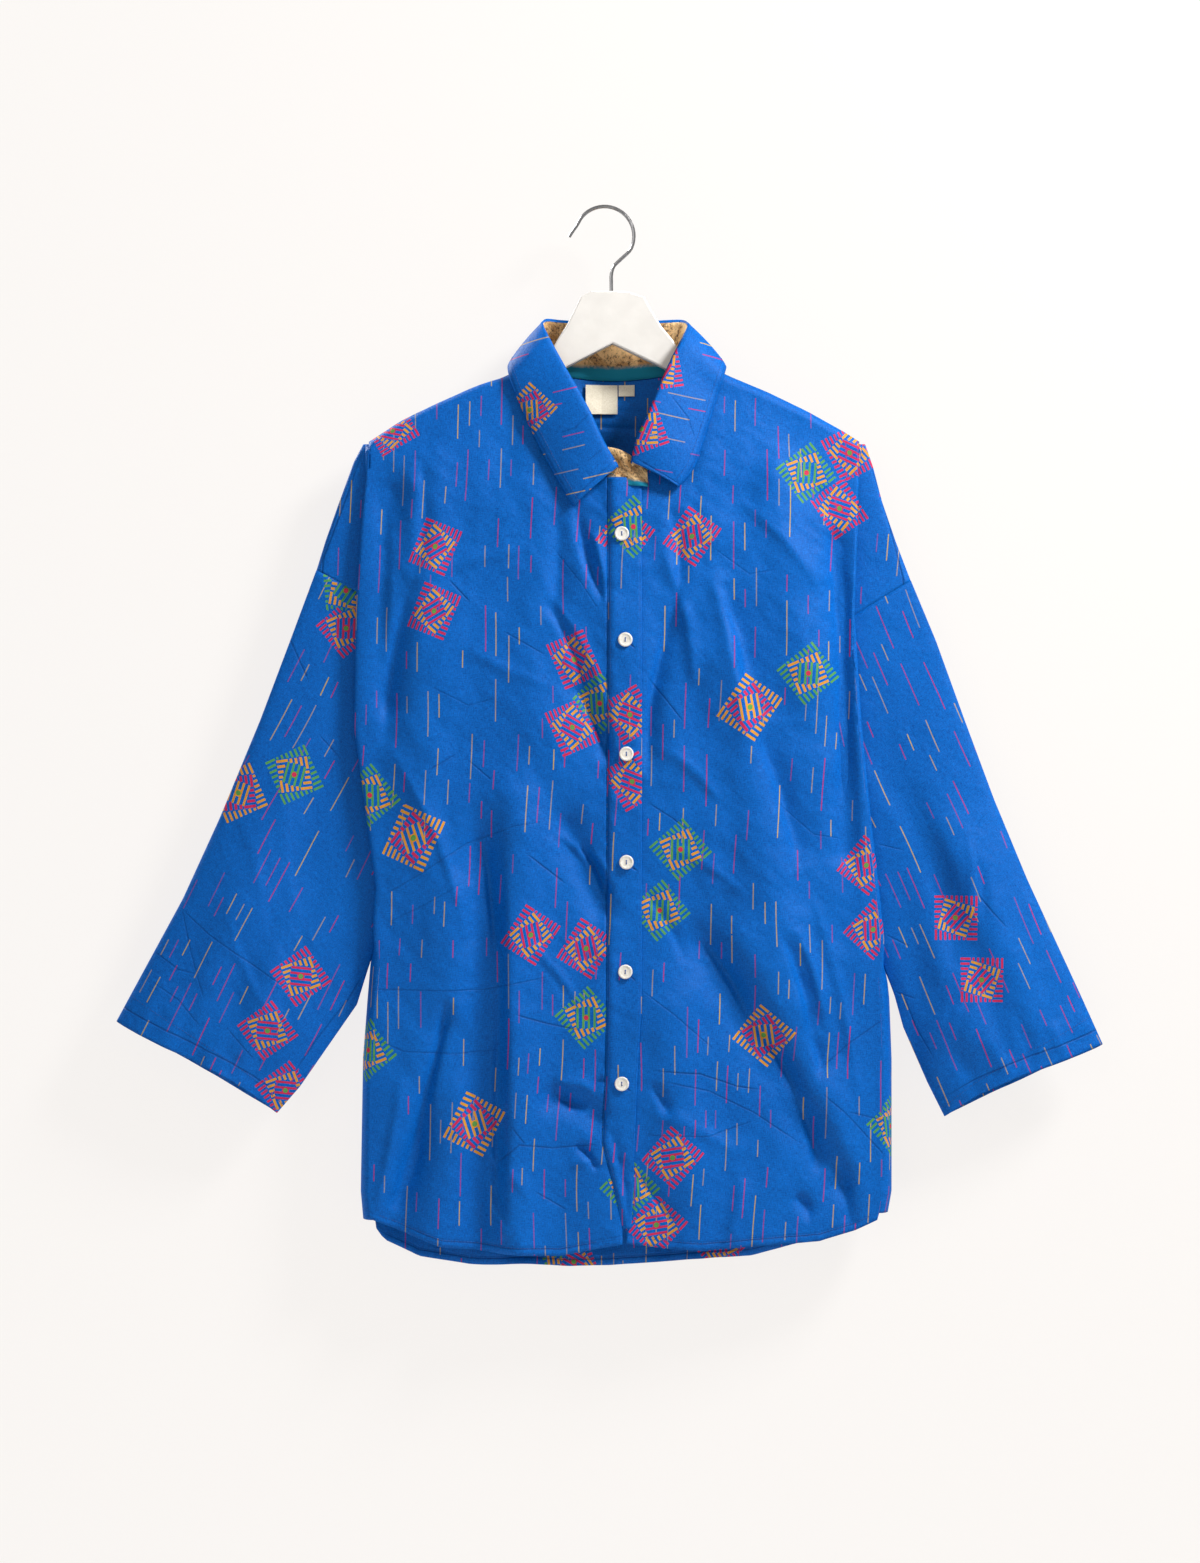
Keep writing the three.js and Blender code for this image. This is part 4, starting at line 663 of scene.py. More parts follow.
def clothPiece(name, grids, flip, motifs, thickness=None, marks=()):
    # grids holds the shared points and parts of (index grid, uv grid), made into quads;
    # a part's third grid, where it has one, is where its motifs and lines are laid out
    points, parts = grids
    low, high = slice(None, -1), slice(1, None)
    corners = [(low, low), (low, high), (high, high), (high, low)]

    def quads(place, *shape):
        grids = [np.stack([part[place][c] for c in corners], 2) for part in parts]
        return np.concatenate([grid.reshape(-1, 4, *shape) for grid in grids])

    faces, uvs, printed = quads(0), quads(1, 2), quads(-1, 2)
    if flip:
        faces, uvs, printed = faces[:, ::-1], uvs[:, ::-1], printed[:, ::-1]
    layers = {"cloth": uvs * mm, **motifLayers(printed, motifs), **markLayer(printed, marks)}
    obj = makeMesh(name, points, faces, layers)
    solid = obj.modifiers.new("thickness", "SOLIDIFY")
    solid.thickness = (thickness or cloth["thickness"]) * mm
    solid.offset = 0
    solid.use_even_offset = False
    return obj


def arcAcross(grid):  # running length along the columns, row by row
    step = np.linalg.norm(np.diff(grid, axis=0), axis=-1)
    return np.concatenate([np.zeros((1, grid.shape[1])), np.cumsum(step, 0)])


def joinPanel(columns, cap):
    # one index grid for the panel and one for its cap, which shares the armhole edge
    count = columns.shape[0] * columns.shape[1]
    index = np.arange(count).reshape(columns.shape[:2])
    capIndex = count + np.arange(cap.shape[0] * cap.shape[1]).reshape(cap.shape[:2])
    capIndex = np.concatenate([index[-1:, :seamFine + 1], capIndex])
    points = np.concatenate([columns.reshape(-1, 3), cap.reshape(-1, 3)])
    return points, index, capIndex


def panelUv(columns, out, mainCount):
    # the cut lies flat: x and z on the main part, then on by the cloth's own length round the side
    uv = columns[..., [0, 2]].copy()
    beyond = arcAcross(columns[mainCount - 1:])
    uv[mainCount - 1:, :, 0] = columns[mainCount - 1, :, 0] + out * beyond
    return uv


def capUv(columns, cap):  # as it hangs, so that its print lies as the photo shows it
    return np.concatenate([columns[-1:, :seamFine + 1], cap])[..., [0, 2]]


# a dark stitch line, and painted shade at the step of the turned hem
def hemMarks(hem):  # the hem's stitching and the step of its turned edge
    return [([(x, z + 6) for x, z in hem], 0.85), ([(x, z + 7.5) for x, z in hem], 0.3)]


# painted shade along the seam where the dropped shoulder and the sleeve meet the panel
def armholeMarks(uv):  # the seam where the dropped shoulder and the sleeve join the panel
    return [([tuple(place) for place in uv[-1, :armpitFine:28]], 0.9)]


def frontPiece(name, count, motifs):
    arm = armholes[name]
    rows = collarRows[:shoulderRowRight + 1] if name == "right" else collarRows[shoulderRowLeft:][::-1]
    neck = [(row[1], row[2]) for row in rows]
    stitched = lambda z: lookUp(placketEdges, z, 1)
    centreX = (lambda z: stitched(z) - 0.4) if name == "right" else (lambda z: np.maximum(stitched(z), 2) + 3)
    if name == "left":
        neck.insert(0, (float(centreX(-243)), -242))
    neck[0] = (float(centreX(neck[0][1])), neck[0][1])
    shares = np.arange(1, 16 - len(neck) + 2) / (16 - len(neck) + 1)
    tops = neck + list(zip(*alongLine(shoulders[name], shares)))
    main = mainColumns(name, -1, tops, centreX, frontHem, count)
    side, cap = sides[name, -1]
    columns = np.concatenate([main, side])
    points, index, capIndex = joinPanel(columns, cap)
    uv = panelUv(columns, arm["out"], count)
    parts = [(index, uv), (capIndex, capUv(columns, cap))]
    marks = frontMarks + hemMarks(frontHem) + armholeMarks(uv)
    if name == "right":
        # painted shade along the placket's stitched edge
        marks = marks + [([(float(stitched(z)) - 0.6, z) for z in (-250, -690, -761, -815, -849, -886)], 0.3)]
    title = "front" + name.capitalize() + "Cloth"
    return clothPiece(title, (points, parts), name == "right", motifs, None, marks)


def backPiece(count, motifs):
    middle = collarRows[shoulderRowRight:shoulderRowLeft + 1]
    half = len(middle) // 2
    pieces, parts, start = [], [], 0
    for name in ("right", "left"):
        arm = armholes[name]
        rows = middle[:half + 1][::-1] if name == "right" else middle[half:]
        tops = [(row[1], row[2]) for row in rows]
        tops += list(zip(*alongLine(shoulders[name], np.arange(1, 9) / 8)))
        main = mainColumns(name, 1, tops, lambda z: 0 * z + cloth["neckMiddleX"], backHem, count)
        side, cap = sides[name, 1]
        columns = np.concatenate([main, side])
        points, index, capIndex = joinPanel(columns, cap)
        index, capIndex = index + start, capIndex + start
        uv = panelUv(columns, arm["out"], count)
        capPart = capUv(columns, cap)
        if name == "right":
            firstColumn = index[0]
            pieces.append(points)
            parts += [(index[::-1], uv[::-1]), (capIndex[::-1], capPart[::-1])]
        else:
            index[0] = firstColumn
            pieces.append(points)
            parts += [(index, uv), (capIndex, capPart)]
        start += len(points)
    points = np.concatenate(pieces)
    used = np.unique(np.concatenate([part[0].ravel() for part in parts]))
    renumber = np.zeros(len(points), int)
    renumber[used] = np.arange(len(used))
    parts = [(renumber[index], uv) for index, uv in parts]
    return clothPiece("backCloth", (points[used], parts), True, motifs, None, backMarks + hemMarks(backHem))


sleeveTurn = {"right": math.radians(-25), "left": math.radians(25)}
sleevePrint = {"farShift": (130, 250), "farClear": 34, "cuffStitch": 14, "cuffStitchMark": 0.85,
               "cuffMark": 0.2}


def turned(x, z, angle):
    return x * math.cos(angle) + z * math.sin(angle), -x * math.sin(angle) + z * math.cos(angle)


def sleevePiece(name, across, down):
    grid = sleeveGrid(name, across, down)
    angle = sleeveTurn[name]
    marks = [([turned(x, z, angle) for x, z in line], strength) for line, strength in sleeveMarks[name]]
    u, v = turned(grid[..., 0], grid[..., 2], angle)
    fold = across  # the outer line's column
    uv = np.stack([u, v], -1)
    uv[fold + 1:, :, 0] = 2 * u[fold] - u[fold + 1:]
    motifs = []
    for x, z, kind, turn, *rest in sleeveMotifs[name]:
        mu, mv = turned(x, z, angle)
        motifs.append((mu, mv, kind, turn - math.degrees(angle), *rest))
    out = armholes[name]["out"]
    aside, above = sleevePrint["farShift"]
    middle = np.median(u[fold]) + out * aside, np.median(v[fold])
    motifs += [(mu + middle[0], mv + middle[1] + above, *rest) for mu, mv, *rest in farMotifs[name]
               if (mu + middle[0] - np.median(u[fold])) * out > sleevePrint["farClear"]]
    columns, rows = grid.shape[:2]
    index = np.arange(columns * rows).reshape(columns, rows)
    index[-1] = index[0]
    points = grid.reshape(-1, 3)[:(columns - 1) * rows]
    # dark lines at the cuff: the stitch line, and painted shade along the cuff's edge
    cuff = [tuple(place) for place in uv[::8, -1]]
    up = uv[:, -1] - uv[:, -9]
    up = sleevePrint["cuffStitch"] * up / np.linalg.norm(up, axis=1, keepdims=True)
    stitched = [tuple(place) for place in (uv[:, -1] - up)[::4]]
    marks += [(stitched, sleevePrint["cuffStitchMark"]), (cuff, sleevePrint["cuffMark"])]
    title = "sleeve" + name.capitalize() + "Cloth"
    return clothPiece(title, (points, [(index, uv)]), name == "left", motifs, None, marks), grid


def collarLines(count):
    # neck seam, roll line and free edge, smooth through the rows
    rows = np.array(collarRows, float)
    face = rows[:, 0]
    drop = 6.0
    side = np.where(face == 0, -1, face)
    neckDepth = np.array([panelDepth(r[1], r[2], s, False) for r, s in zip(rows, side)])
    edgeDepth = np.array([panelDepth(r[6], r[7] - drop, s, False) for r, s in zip(rows, side)]) + 3.4
    neck = np.stack([rows[:, 1], face * neckDepth, rows[:, 2]], -1)
    roll = rows[:, 3:6]
    edge = np.stack([rows[:, 6], face * edgeDepth, rows[:, 7]], -1)
    weights = splineWeights(len(rows), np.linspace(0, len(rows) - 1, count))
    away = np.stack([0 * face, face, np.where(face == 0, 1, 0.4)], -1)
    away = weights @ (away / np.linalg.norm(away, axis=1, keepdims=True))
    return weights @ neck, weights @ roll, weights @ edge, away


# creases on the collar's leaves, drawn as lines of painted shade
collarMarks = [([(-13, -183), (-26, -196), (-38, -200)], 0.45), ([(-2, -214), (-16, -226)], 0.4),
               ([(58, -168), (72, -186), (78, -204)], 0.45)]


leafSize = {"turnIn": 0.1, "turnInRows": 4, "turnInSwell": 3, "standOff": 0.9, "bow": 4, "rounding": 1.2,
            "roundedShare": 0.05, "behind": 4, "behindShift": 400, "rim": 0.955, "turns": (73, 0, 100)}


def leafPiece(count, across):
    # a short turn in under the roll line, over it, and down to the free edge, bowed by sin(pi t)^0.5
    neck, roll, edge, away = collarLines(count)
    inside = np.linspace(leafSize["turnIn"], 0, leafSize["turnInRows"])[:-1]
    t = np.linspace(0, 1, across)
    off = leafSize["standOff"]
    turnIn = [mix(roll, neck, s) + away * (off + leafSize["turnInSwell"] * s) for s in inside]
    bow = leafSize["bow"] * np.sqrt(np.maximum(np.sin(np.pi * t), 0))
    rounding = leafSize["rounding"] * np.exp(-(t / leafSize["roundedShare"]) ** 2)
    over = [mix(roll, edge, s) + away * (b + off) + np.array([0, 0, r]) for s, b, r in zip(t, bow, rounding)]
    grid = np.stack(turnIn + over, 1)
    printed = grid[..., [0, 2]].copy()
    printed[..., 0] += np.where(grid[..., 1] > leafSize["behind"], leafSize["behindShift"], 0)
    index = np.arange(grid.shape[0] * grid.shape[1]).reshape(grid.shape[:2])
    shoulderAt = [int(count * row / (len(collarRows) - 1)) for row in (shoulderRowRight, shoulderRowLeft)]
    parts = []
    stops = (0, *shoulderAt, count - 1)
    for low, high, degrees in zip(stops, stops[1:], leafSize["turns"]):
        u, v = turned(grid[low:high + 1, :, 0], grid[low:high + 1, :, 2], math.radians(-degrees))
        parts.append((index[low:high + 1], np.stack([u + low, v], -1), printed[low:high + 1]))
    # dark lines on the leaves: painted shade along the stitched free edge and the end edges, and the collar's
    # creases
    rim = mix(roll, edge, leafSize["rim"])[:, [0, 2]]
    ends = [[tuple(mix(roll[k], edge[k], t)[[0, 2]]) for t in (0.1, 1.0)] for k in (3, count - 4)]
    rims = (rim[4:shoulderAt[0]:6], rim[shoulderAt[1] + 1:-4:6])
    marks = [([tuple(place) for place in line], 0.5) for line in rims]
    marks += [(end, 0.5) for end in ends] + collarMarks
    piece = clothPiece("collarLeafCloth", (grid.reshape(-1, 3), parts), False, collarMotifs, None, marks)
    return piece, grid


# The tab at the stand's end: its corners, and the parts of its depth
standTab = {"topRight": (2, -211), "topLeft": (37, -231), "lowRight": (3, -244), "lowLeft": (38, -246),
            "rise": 4, "depth": 25.5, "bow": 3.5, "wave": 1.2, "curl": 3.2, "curlFrom": 0.8,
            "uvFrom": (300, 5), "uvSize": (38, 32)}


def standPiece(count, across):
    neck, roll = collarLines(count)[:2]
    t = np.linspace(0.02, 0.985, across)
    grid = np.stack([mix(neck, roll, s) for s in t], 1)
    along = np.concatenate([[0], np.cumsum(np.linalg.norm(np.diff(neck, axis=0), axis=1))])
    uv = np.stack(np.broadcast_arrays(along[:, None], t * 45), -1)
    index = np.arange(grid.shape[0] * grid.shape[1]).reshape(grid.shape[:2])
    points, parts = [grid.reshape(-1, 3)], [(index, uv)]
    # the end of the stand under the leaves: a bowed tab with a curled top edge
    a, b = np.meshgrid(np.linspace(0, 1, 30), np.linspace(0, 1, 18), indexing="ij")
    rising = np.sin(a * np.pi)
    top = mix(np.array(standTab["topRight"]), np.array(standTab["topLeft"]), a[..., None])
    top[..., 1] += standTab["rise"] * rising
    low = mix(np.array(standTab["lowRight"]), np.array(standTab["lowLeft"]), a[..., None])
    flat = mix(low, top, b[..., None])
    curl = standTab["curl"] * np.clip((b - standTab["curlFrom"]) / (1 - standTab["curlFrom"]), 0, 1) ** 2
    depth = standTab["depth"] + standTab["bow"] * rising + standTab["wave"] * np.sin(a * 9 + b * 5) - curl
    tab = np.stack([flat[..., 0], -depth, flat[..., 1]], -1)
    tabUv = np.stack([a, b], -1) * standTab["uvSize"] + standTab["uvFrom"]
    points.append(tab.reshape(-1, 3))
    parts.append((np.arange(a.size).reshape(a.shape) + grid.shape[0] * grid.shape[1], tabUv))
    return clothPiece("collarStandCloth", (np.concatenate(points), parts), False, [])


def placketSurface(x, z):
    # flush at the stitched edge, raised over the left front, rolled down at the free edge
    stitched, free = lookUp(placketEdges, z, 1), lookUp(placketEdges, z, 2)
    lift = 0.2 + 2.4 * smooth((x - stitched) / 5)
    return -(panelDepth(x, z, -1) + lift - 0.9 * np.clip(1 - (free - x) / 1.5, 0, 1) ** 2)


def placketPiece(across, down):
    z = np.linspace(-238, -890, down)[None, :]
    share = ((1 - np.cos(np.linspace(0, np.pi, across))) / 2)[:, None]
    x = mix(lookUp(placketEdges, z, 1), lookUp(placketEdges, z, 2), share)
    grid = np.stack([x, placketSurface(x, z), np.broadcast_to(z, x.shape)], -1)
    uv = grid[..., [0, 2]].copy()
    index = np.arange(across * down).reshape(across, down)
    # dark lines on the strip: the stitch line, painted shade where the free edge rolls down, and the
    # buttonholes' stitching
    marks = [([(stitched + 0.9, z) for z, stitched, free in placketEdges], 0.75),
             ([(free - 1.5, z) for z, stitched, free in placketEdges], 0.3)]
    marks += [([(x + 3, z - 3), (x + 8, z - 7)], 1.0) for x, z in buttonPlaces]
    return clothPiece("placketCloth", (grid.reshape(-1, 3), [(index, uv)]), False, placketMotifs, 1.1, marks)


stitch = {"pitch": 2.9, "length": 2.05, "half": 0.24, "high": 0.3,
          "stations": [(0.0, 0.3), (0.18, 0.9), (0.82, 0.9), (1.0, 0.3)]}  # place along it, size there


def stitchPiece(name, lines):
    # lines of points in millimetres with outward directions; each stitch is a low half-round bar,
    # thinner at its ends
    pitch, length, half, high = (stitch[k] for k in ("pitch", "length", "half", "high"))
    angles = np.linspace(0, np.pi, 5)
    pieces = []
    for line, outward in lines:
        run = np.concatenate([[0], np.cumsum(np.linalg.norm(np.diff(line, axis=0), axis=1))])
        begin = np.arange(int((run[-1] - length) / pitch)) * pitch
        at = lambda values, place: np.stack([np.interp(place, run, values[:, k]) for k in range(3)], -1)
        a, b, up = at(line, begin), at(line, begin + length), at(outward, begin + length / 2)
        up = up / np.linalg.norm(up, axis=1, keepdims=True)
        side = np.cross(b - a, up)
        side = side / np.linalg.norm(side, axis=1, keepdims=True)
        rings = []
        for share, size in stitch["stations"]:
            centre = mix(a, b, share)[:, None]
            across = side[:, None] * np.cos(angles)[None, :, None] * half * size
            rings.append(centre + across + up[:, None] * np.sin(angles)[None, :, None] * high * size)
        pieces.append(np.stack(rings, 1).reshape(-1, 3))
    points = np.concatenate(pieces)
    block = np.arange(20).reshape(4, 5)
    quads = np.stack([block[:-1, :-1], block[1:, :-1], block[1:, 1:], block[:-1, 1:]], -1).reshape(-1, 4)
    faces = (np.arange(len(points) // 20)[:, None, None] * 20 + quads[None]).reshape(-1, 4)
    return makeMesh(name, points, faces, {})


def gridLine(grid, column, outwardSign):
    # one line of a grid with directions square to its surface
    line = grid[:, column]
    normal = np.cross(np.gradient(grid, axis=0), np.gradient(grid, axis=1))[:, column] * outwardSign
    return line + normal / np.maximum(np.linalg.norm(normal, axis=1, keepdims=True), 1e-9) * 0.4, normal


def facedLine(xs, zs, face, extra):
    depth = panelDepth(xs, zs, face) + extra
    return np.stack([xs, face * depth, zs], -1), np.stack([0 * xs, 0 * xs + face, 0 * xs], -1)


buttonSize = {
    "profile": [(0, 0), (5.3, 0), (6.1, 0.5), (6.3, 1.2), (6.1, 1.9), (5.5, 2.3), (4.8, 2.2), (4.2, 1.8),
                (3.5, 1.65), (0, 1.65)],
    "around": 48, "holeAt": 1.35, "holeHalf": 0.62, "thread": 0.34, "threadReach": 1.75,
}


def buttonPiece(number, x, z):
    # a turned disc with a raised rim, two sewing holes one above the other, shown as dark cups of painted
    # shade, and the thread between them
    profile = np.array(buttonSize["profile"])
    angles = np.linspace(0, math.tau, buttonSize["around"], endpoint=False)
    around = len(angles)
    sideways, up = np.cos(angles), np.sin(angles)
    radius, height = profile[:, :1], profile[:, 1:]
    grids = [np.stack(np.broadcast_arrays(radius * sideways, -height, radius * up), -1)]
    front = profile[-1, 1]
    # each hole is a shallow dark cup of painted shade; nothing is cut through the disc
    for holeZ in (-buttonSize["holeAt"], buttonSize["holeAt"]):  # a shallow dark cup for each hole
        radius = np.array([[buttonSize["holeHalf"]], [buttonSize["holeHalf"]], [0.0]])
        height = np.array([[0.0], [0.04], [0.03]])
        cup = (radius * sideways, -front - height, holeZ + radius * up)
        grids.append(np.stack(np.broadcast_arrays(*cup), -1))
    along = np.linspace(-1, 1, 9)
    bow = buttonSize["thread"] * np.sqrt(1 - (0.92 * along) ** 2)
    bow = bow[:, None]
    threadY = -front - 0.1 - bow * (0.6 + 0.9 * up)
    threadZ = along[:, None] * buttonSize["threadReach"]
    grids.append(np.stack(np.broadcast_arrays(bow * sideways, threadY, threadZ), -1))
    faces, count = [], 0
    for grid in grids:
        block = np.arange(grid.size // 3).reshape(len(grid), around) + count
        shifted = np.roll(block, -1, 1)
        faces.append(np.stack([block[:-1], block[1:], shifted[1:], shifted[:-1]], -1).reshape(-1, 4))
        count += grid.size // 3
    points = np.concatenate([grid.reshape(-1, 3) for grid in grids])
    points[:, 0], points[:, 2] = turned(points[:, 0], points[:, 2], -math.radians(4 * math.sin(number * 2.3)))
    depth = float(placketSurface(np.array([x]), np.array([z]))[0]) - 1.0
    obj = makeMesh(f"button{number}Pearl", points + np.array([x, depth, z]), np.concatenate(faces), {})
    return obj, len(faces[0])


# Shader helpers
def newGroup(name, inputs, outputs):
    group = bpy.data.node_groups.new(name, "ShaderNodeTree")
    for label, kind, value in inputs:
        socket = group.interface.new_socket(name=label, in_out="INPUT", socket_type=kind)
        if value is not None:
            socket.default_value = value
    for label, kind in outputs:
        group.interface.new_socket(name=label, in_out="OUTPUT", socket_type=kind)
    return group, group.nodes.new("NodeGroupInput"), group.nodes.new("NodeGroupOutput")


def wire(tree, value, socket):
    if isinstance(value, bpy.types.NodeSocket):
        tree.links.new(value, socket)
    else:
        socket.default_value = value


def calc(tree, operation, *values):
    node = tree.nodes.new("ShaderNodeMath")
    node.operation = operation
    for value, socket in zip(values, node.inputs):
        wire(tree, value, socket)
    return node.outputs[0]


def times(tree, a, b):
    return calc(tree, "MULTIPLY", a, b)


def plus(tree, a, b):
    return calc(tree, "ADD", a, b)


def minus(tree, a, b):
    return calc(tree, "SUBTRACT", a, b)


def blend(tree, factor, a, b):
    node = tree.nodes.new("ShaderNodeMix")
    node.data_type = "RGBA"
    wire(tree, factor, node.inputs[0])
    wire(tree, a, node.inputs[6])
    wire(tree, b, node.inputs[7])
    return node.outputs[2]


def noise(tree, vector, scale, detail, roughness=0.5, distortion=0.0):
    node = tree.nodes.new("ShaderNodeTexNoise")
    wire(tree, vector, node.inputs["Vector"])
    node.inputs["Scale"].default_value = scale
    node.inputs["Detail"].default_value = detail
    node.inputs["Roughness"].default_value = roughness
    node.inputs["Distortion"].default_value = distortion
    return node.outputs["Fac"]


def remap(tree, value, fromLow, fromHigh, toLow, toHigh):
    node = tree.nodes.new("ShaderNodeMapRange")
    for place, number in enumerate((value, fromLow, fromHigh, toLow, toHigh)):
        wire(tree, number, node.inputs[place])
    return node.outputs[0]


floatKind = "NodeSocketFloat"
wheelInputs = [(label, floatKind, 0.0)
               for label in ("X", "Y", "Half", "Count", "Pitch", "Duty", "Long", "Taper", "Ease")]


def barRowGroup():
    # bars across one side of a square: bar k starts k * pitch from the corner and is
    # long - k taper + k^2 ease in length
    group, source, sink = newGroup("barRow", wheelInputs, [("Mask", floatKind)])
    x, y, half, count, pitch, duty, longest, taper, ease = (source.outputs[i] for i in range(9))
    t = calc(group, "DIVIDE", plus(group, x, half), pitch)
    k = calc(group, "FLOOR", t)
    inBar = calc(group, "LESS_THAN", calc(group, "FRACT", t), duty)
    first = calc(group, "GREATER_THAN", k, -0.5)
    last = calc(group, "LESS_THAN", k, minus(group, count, 0.5))
    shorter = times(group, k, minus(group, taper, times(group, k, ease)))
    reach = plus(group, minus(group, half, longest), shorter)
    below = calc(group, "LESS_THAN", y, half)
    above = calc(group, "GREATER_THAN", y, reach)
    across = times(group, times(group, inBar, first), last)
    group.links.new(times(group, across, times(group, below, above)), sink.inputs[0])
    return group


def pinwheelGroup(barRow):  # the row of bars on each of the four sides
    group, source, sink = newGroup("pinwheel", wheelInputs, [("Mask", floatKind)])
    x, y = source.outputs[0], source.outputs[1]
    minusX, minusY = times(group, x, -1.0), times(group, y, -1.0)
    total = None
    for a, b in ((x, y), (y, minusX), (minusX, minusY), (minusY, x)):
        node = group.nodes.new("ShaderNodeGroup")
        node.node_tree = barRow
        group.links.new(a, node.inputs[0])
        group.links.new(b, node.inputs[1])
        for i in range(2, len(wheelInputs)):
            group.links.new(source.outputs[i], node.inputs[i])
        total = node.outputs[0] if total is None else calc(group, "MAXIMUM", total, node.outputs[0])
    group.links.new(total, sink.inputs[0])
    return group


def spin(tree, x, y, degrees):
    c, s = math.cos(math.radians(degrees)), math.sin(math.radians(degrees))
    a = plus(tree, times(tree, x, c), times(tree, y, s))
    b = minus(tree, times(tree, y, c), times(tree, x, s))
    return a, b


def motifGroup():
    # in millimetres: an outer and an inner square of bars, four lines with a cross bar, and a dot
    pinwheel = pinwheelGroup(barRowGroup())
    group, source, sink = newGroup("motifMasks", [("X", floatKind, 0.0), ("Y", floatKind, 0.0)],
                                   [(n, floatKind) for n in ("Outer", "Inner", "Dot")])
    x, y = source.outputs[0], source.outputs[1]

    def wheel(a, b, sizes):
        node = group.nodes.new("ShaderNodeGroup")
        node.node_tree = pinwheel
        group.links.new(a, node.inputs[0])
        group.links.new(b, node.inputs[1])
        for i, key in enumerate(("half", "count", "pitch", "duty", "long", "taper", "ease")):
            node.inputs[i + 2].default_value = sizes[key]
        return node.outputs[0]

    outer = wheel(x, y, motifSize["outer"])
    innerX, innerY = spin(group, x, y, motifSize["innerTurn"])
    inner = wheel(innerX, innerY, motifSize["inner"])
    lineX, lineY = spin(group, x, y, motifSize["lineTurn"])
    side = calc(group, "ABSOLUTE", lineX)
    up = calc(group, "ABSOLUTE", lineY)
    lines = None
    for centre, reach in motifSize["lines"]:
        offCentre = calc(group, "ABSOLUTE", minus(group, side, centre))
        near = calc(group, "LESS_THAN", offCentre, motifSize["lineHalf"])
        line = times(group, near, calc(group, "LESS_THAN", up, reach))
        lines = line if lines is None else calc(group, "MAXIMUM", lines, line)
    between = calc(group, "LESS_THAN", side, motifSize["lines"][0][0])
    cross = times(group, between, calc(group, "LESS_THAN", up, motifSize["cross"]))
    lines = calc(group, "MAXIMUM", lines, cross)
    squares = plus(group, times(group, x, x), times(group, y, y))
    away = calc(group, "SQRT", squares)
    dot = calc(group, "LESS_THAN", away, motifSize["dot"])
    group.links.new(calc(group, "MAXIMUM", outer, lines), sink.inputs[0])
    group.links.new(inner, sink.inputs[1])
    group.links.new(dot, sink.inputs[2])
    return group


def white(tree, x, y):
    join = tree.nodes.new("ShaderNodeCombineXYZ")
    wire(tree, x, join.inputs[0])
    wire(tree, y, join.inputs[1])
    node = tree.nodes.new("ShaderNodeTexWhiteNoise")
    node.noise_dimensions = "2D"
    tree.links.new(join.outputs[0], node.inputs["Vector"])
    split = tree.nodes.new("ShaderNodeSeparateColor")
    tree.links.new(node.outputs["Color"], split.inputs[0])
    return split.outputs[0], split.outputs[1], split.outputs[2]


dashSize = {"pitch": 9.6, "cell": 52.0, "half": 0.42, "soft": 0.15, "shortest": 0.28, "longest": 0.94,
            "bare": 0.4, "faintest": 0.4, "strongest": 0.92, "slant": 0.03, "wander": 18.0}


def dashGroup():
    # columns of cells, each cell with one dash of its own length, place, strength and colour
    group, source, sink = newGroup("dashes", [("U", floatKind, 0.0), ("V", floatKind, 0.0)],
                                   [("Mask", floatKind), ("Crimson", floatKind)])
    pitch, half, soft = dashSize["pitch"], dashSize["half"], dashSize["soft"]
    t = calc(group, "DIVIDE", source.outputs[0], pitch)
    column = calc(group, "FLOOR", t)
    stagger = times(group, white(group, column, 3.0)[0], 7.0)
    rowT = plus(group, calc(group, "DIVIDE", source.outputs[1], dashSize["cell"]), stagger)
    row = calc(group, "FLOOR", rowT)
    a, b, c = white(group, column, plus(group, row, 17.0))
    d, e, f = white(group, plus(group, column, 211.0), row)
    centre = remap(group, a, 0.0, 1.0, 0.42, 0.58)
    away = calc(group, "ABSOLUTE", minus(group, calc(group, "FRACT", t), centre))
    onLine = remap(group, times(group, away, pitch), half - soft, half + soft, 1.0, 0.0)
    length = remap(group, times(group, b, b), 0.0, 1.0, dashSize["shortest"], dashSize["longest"])
    place = times(group, c, minus(group, 1.0, length))
    inCell = minus(group, calc(group, "FRACT", rowT), place)
    begun, unended = calc(group, "GREATER_THAN", inCell, 0.0), calc(group, "LESS_THAN", inCell, length)
    shape = times(group, onLine, times(group, begun, unended))
    present = calc(group, "GREATER_THAN", d, dashSize["bare"])
    strength = remap(group, e, 0.0, 1.0, dashSize["faintest"], dashSize["strongest"])
    mask = times(group, shape, times(group, present, strength))
    group.links.new(mask, sink.inputs[0])
    group.links.new(calc(group, "GREATER_THAN", f, 0.5), sink.inputs[1])
    return group


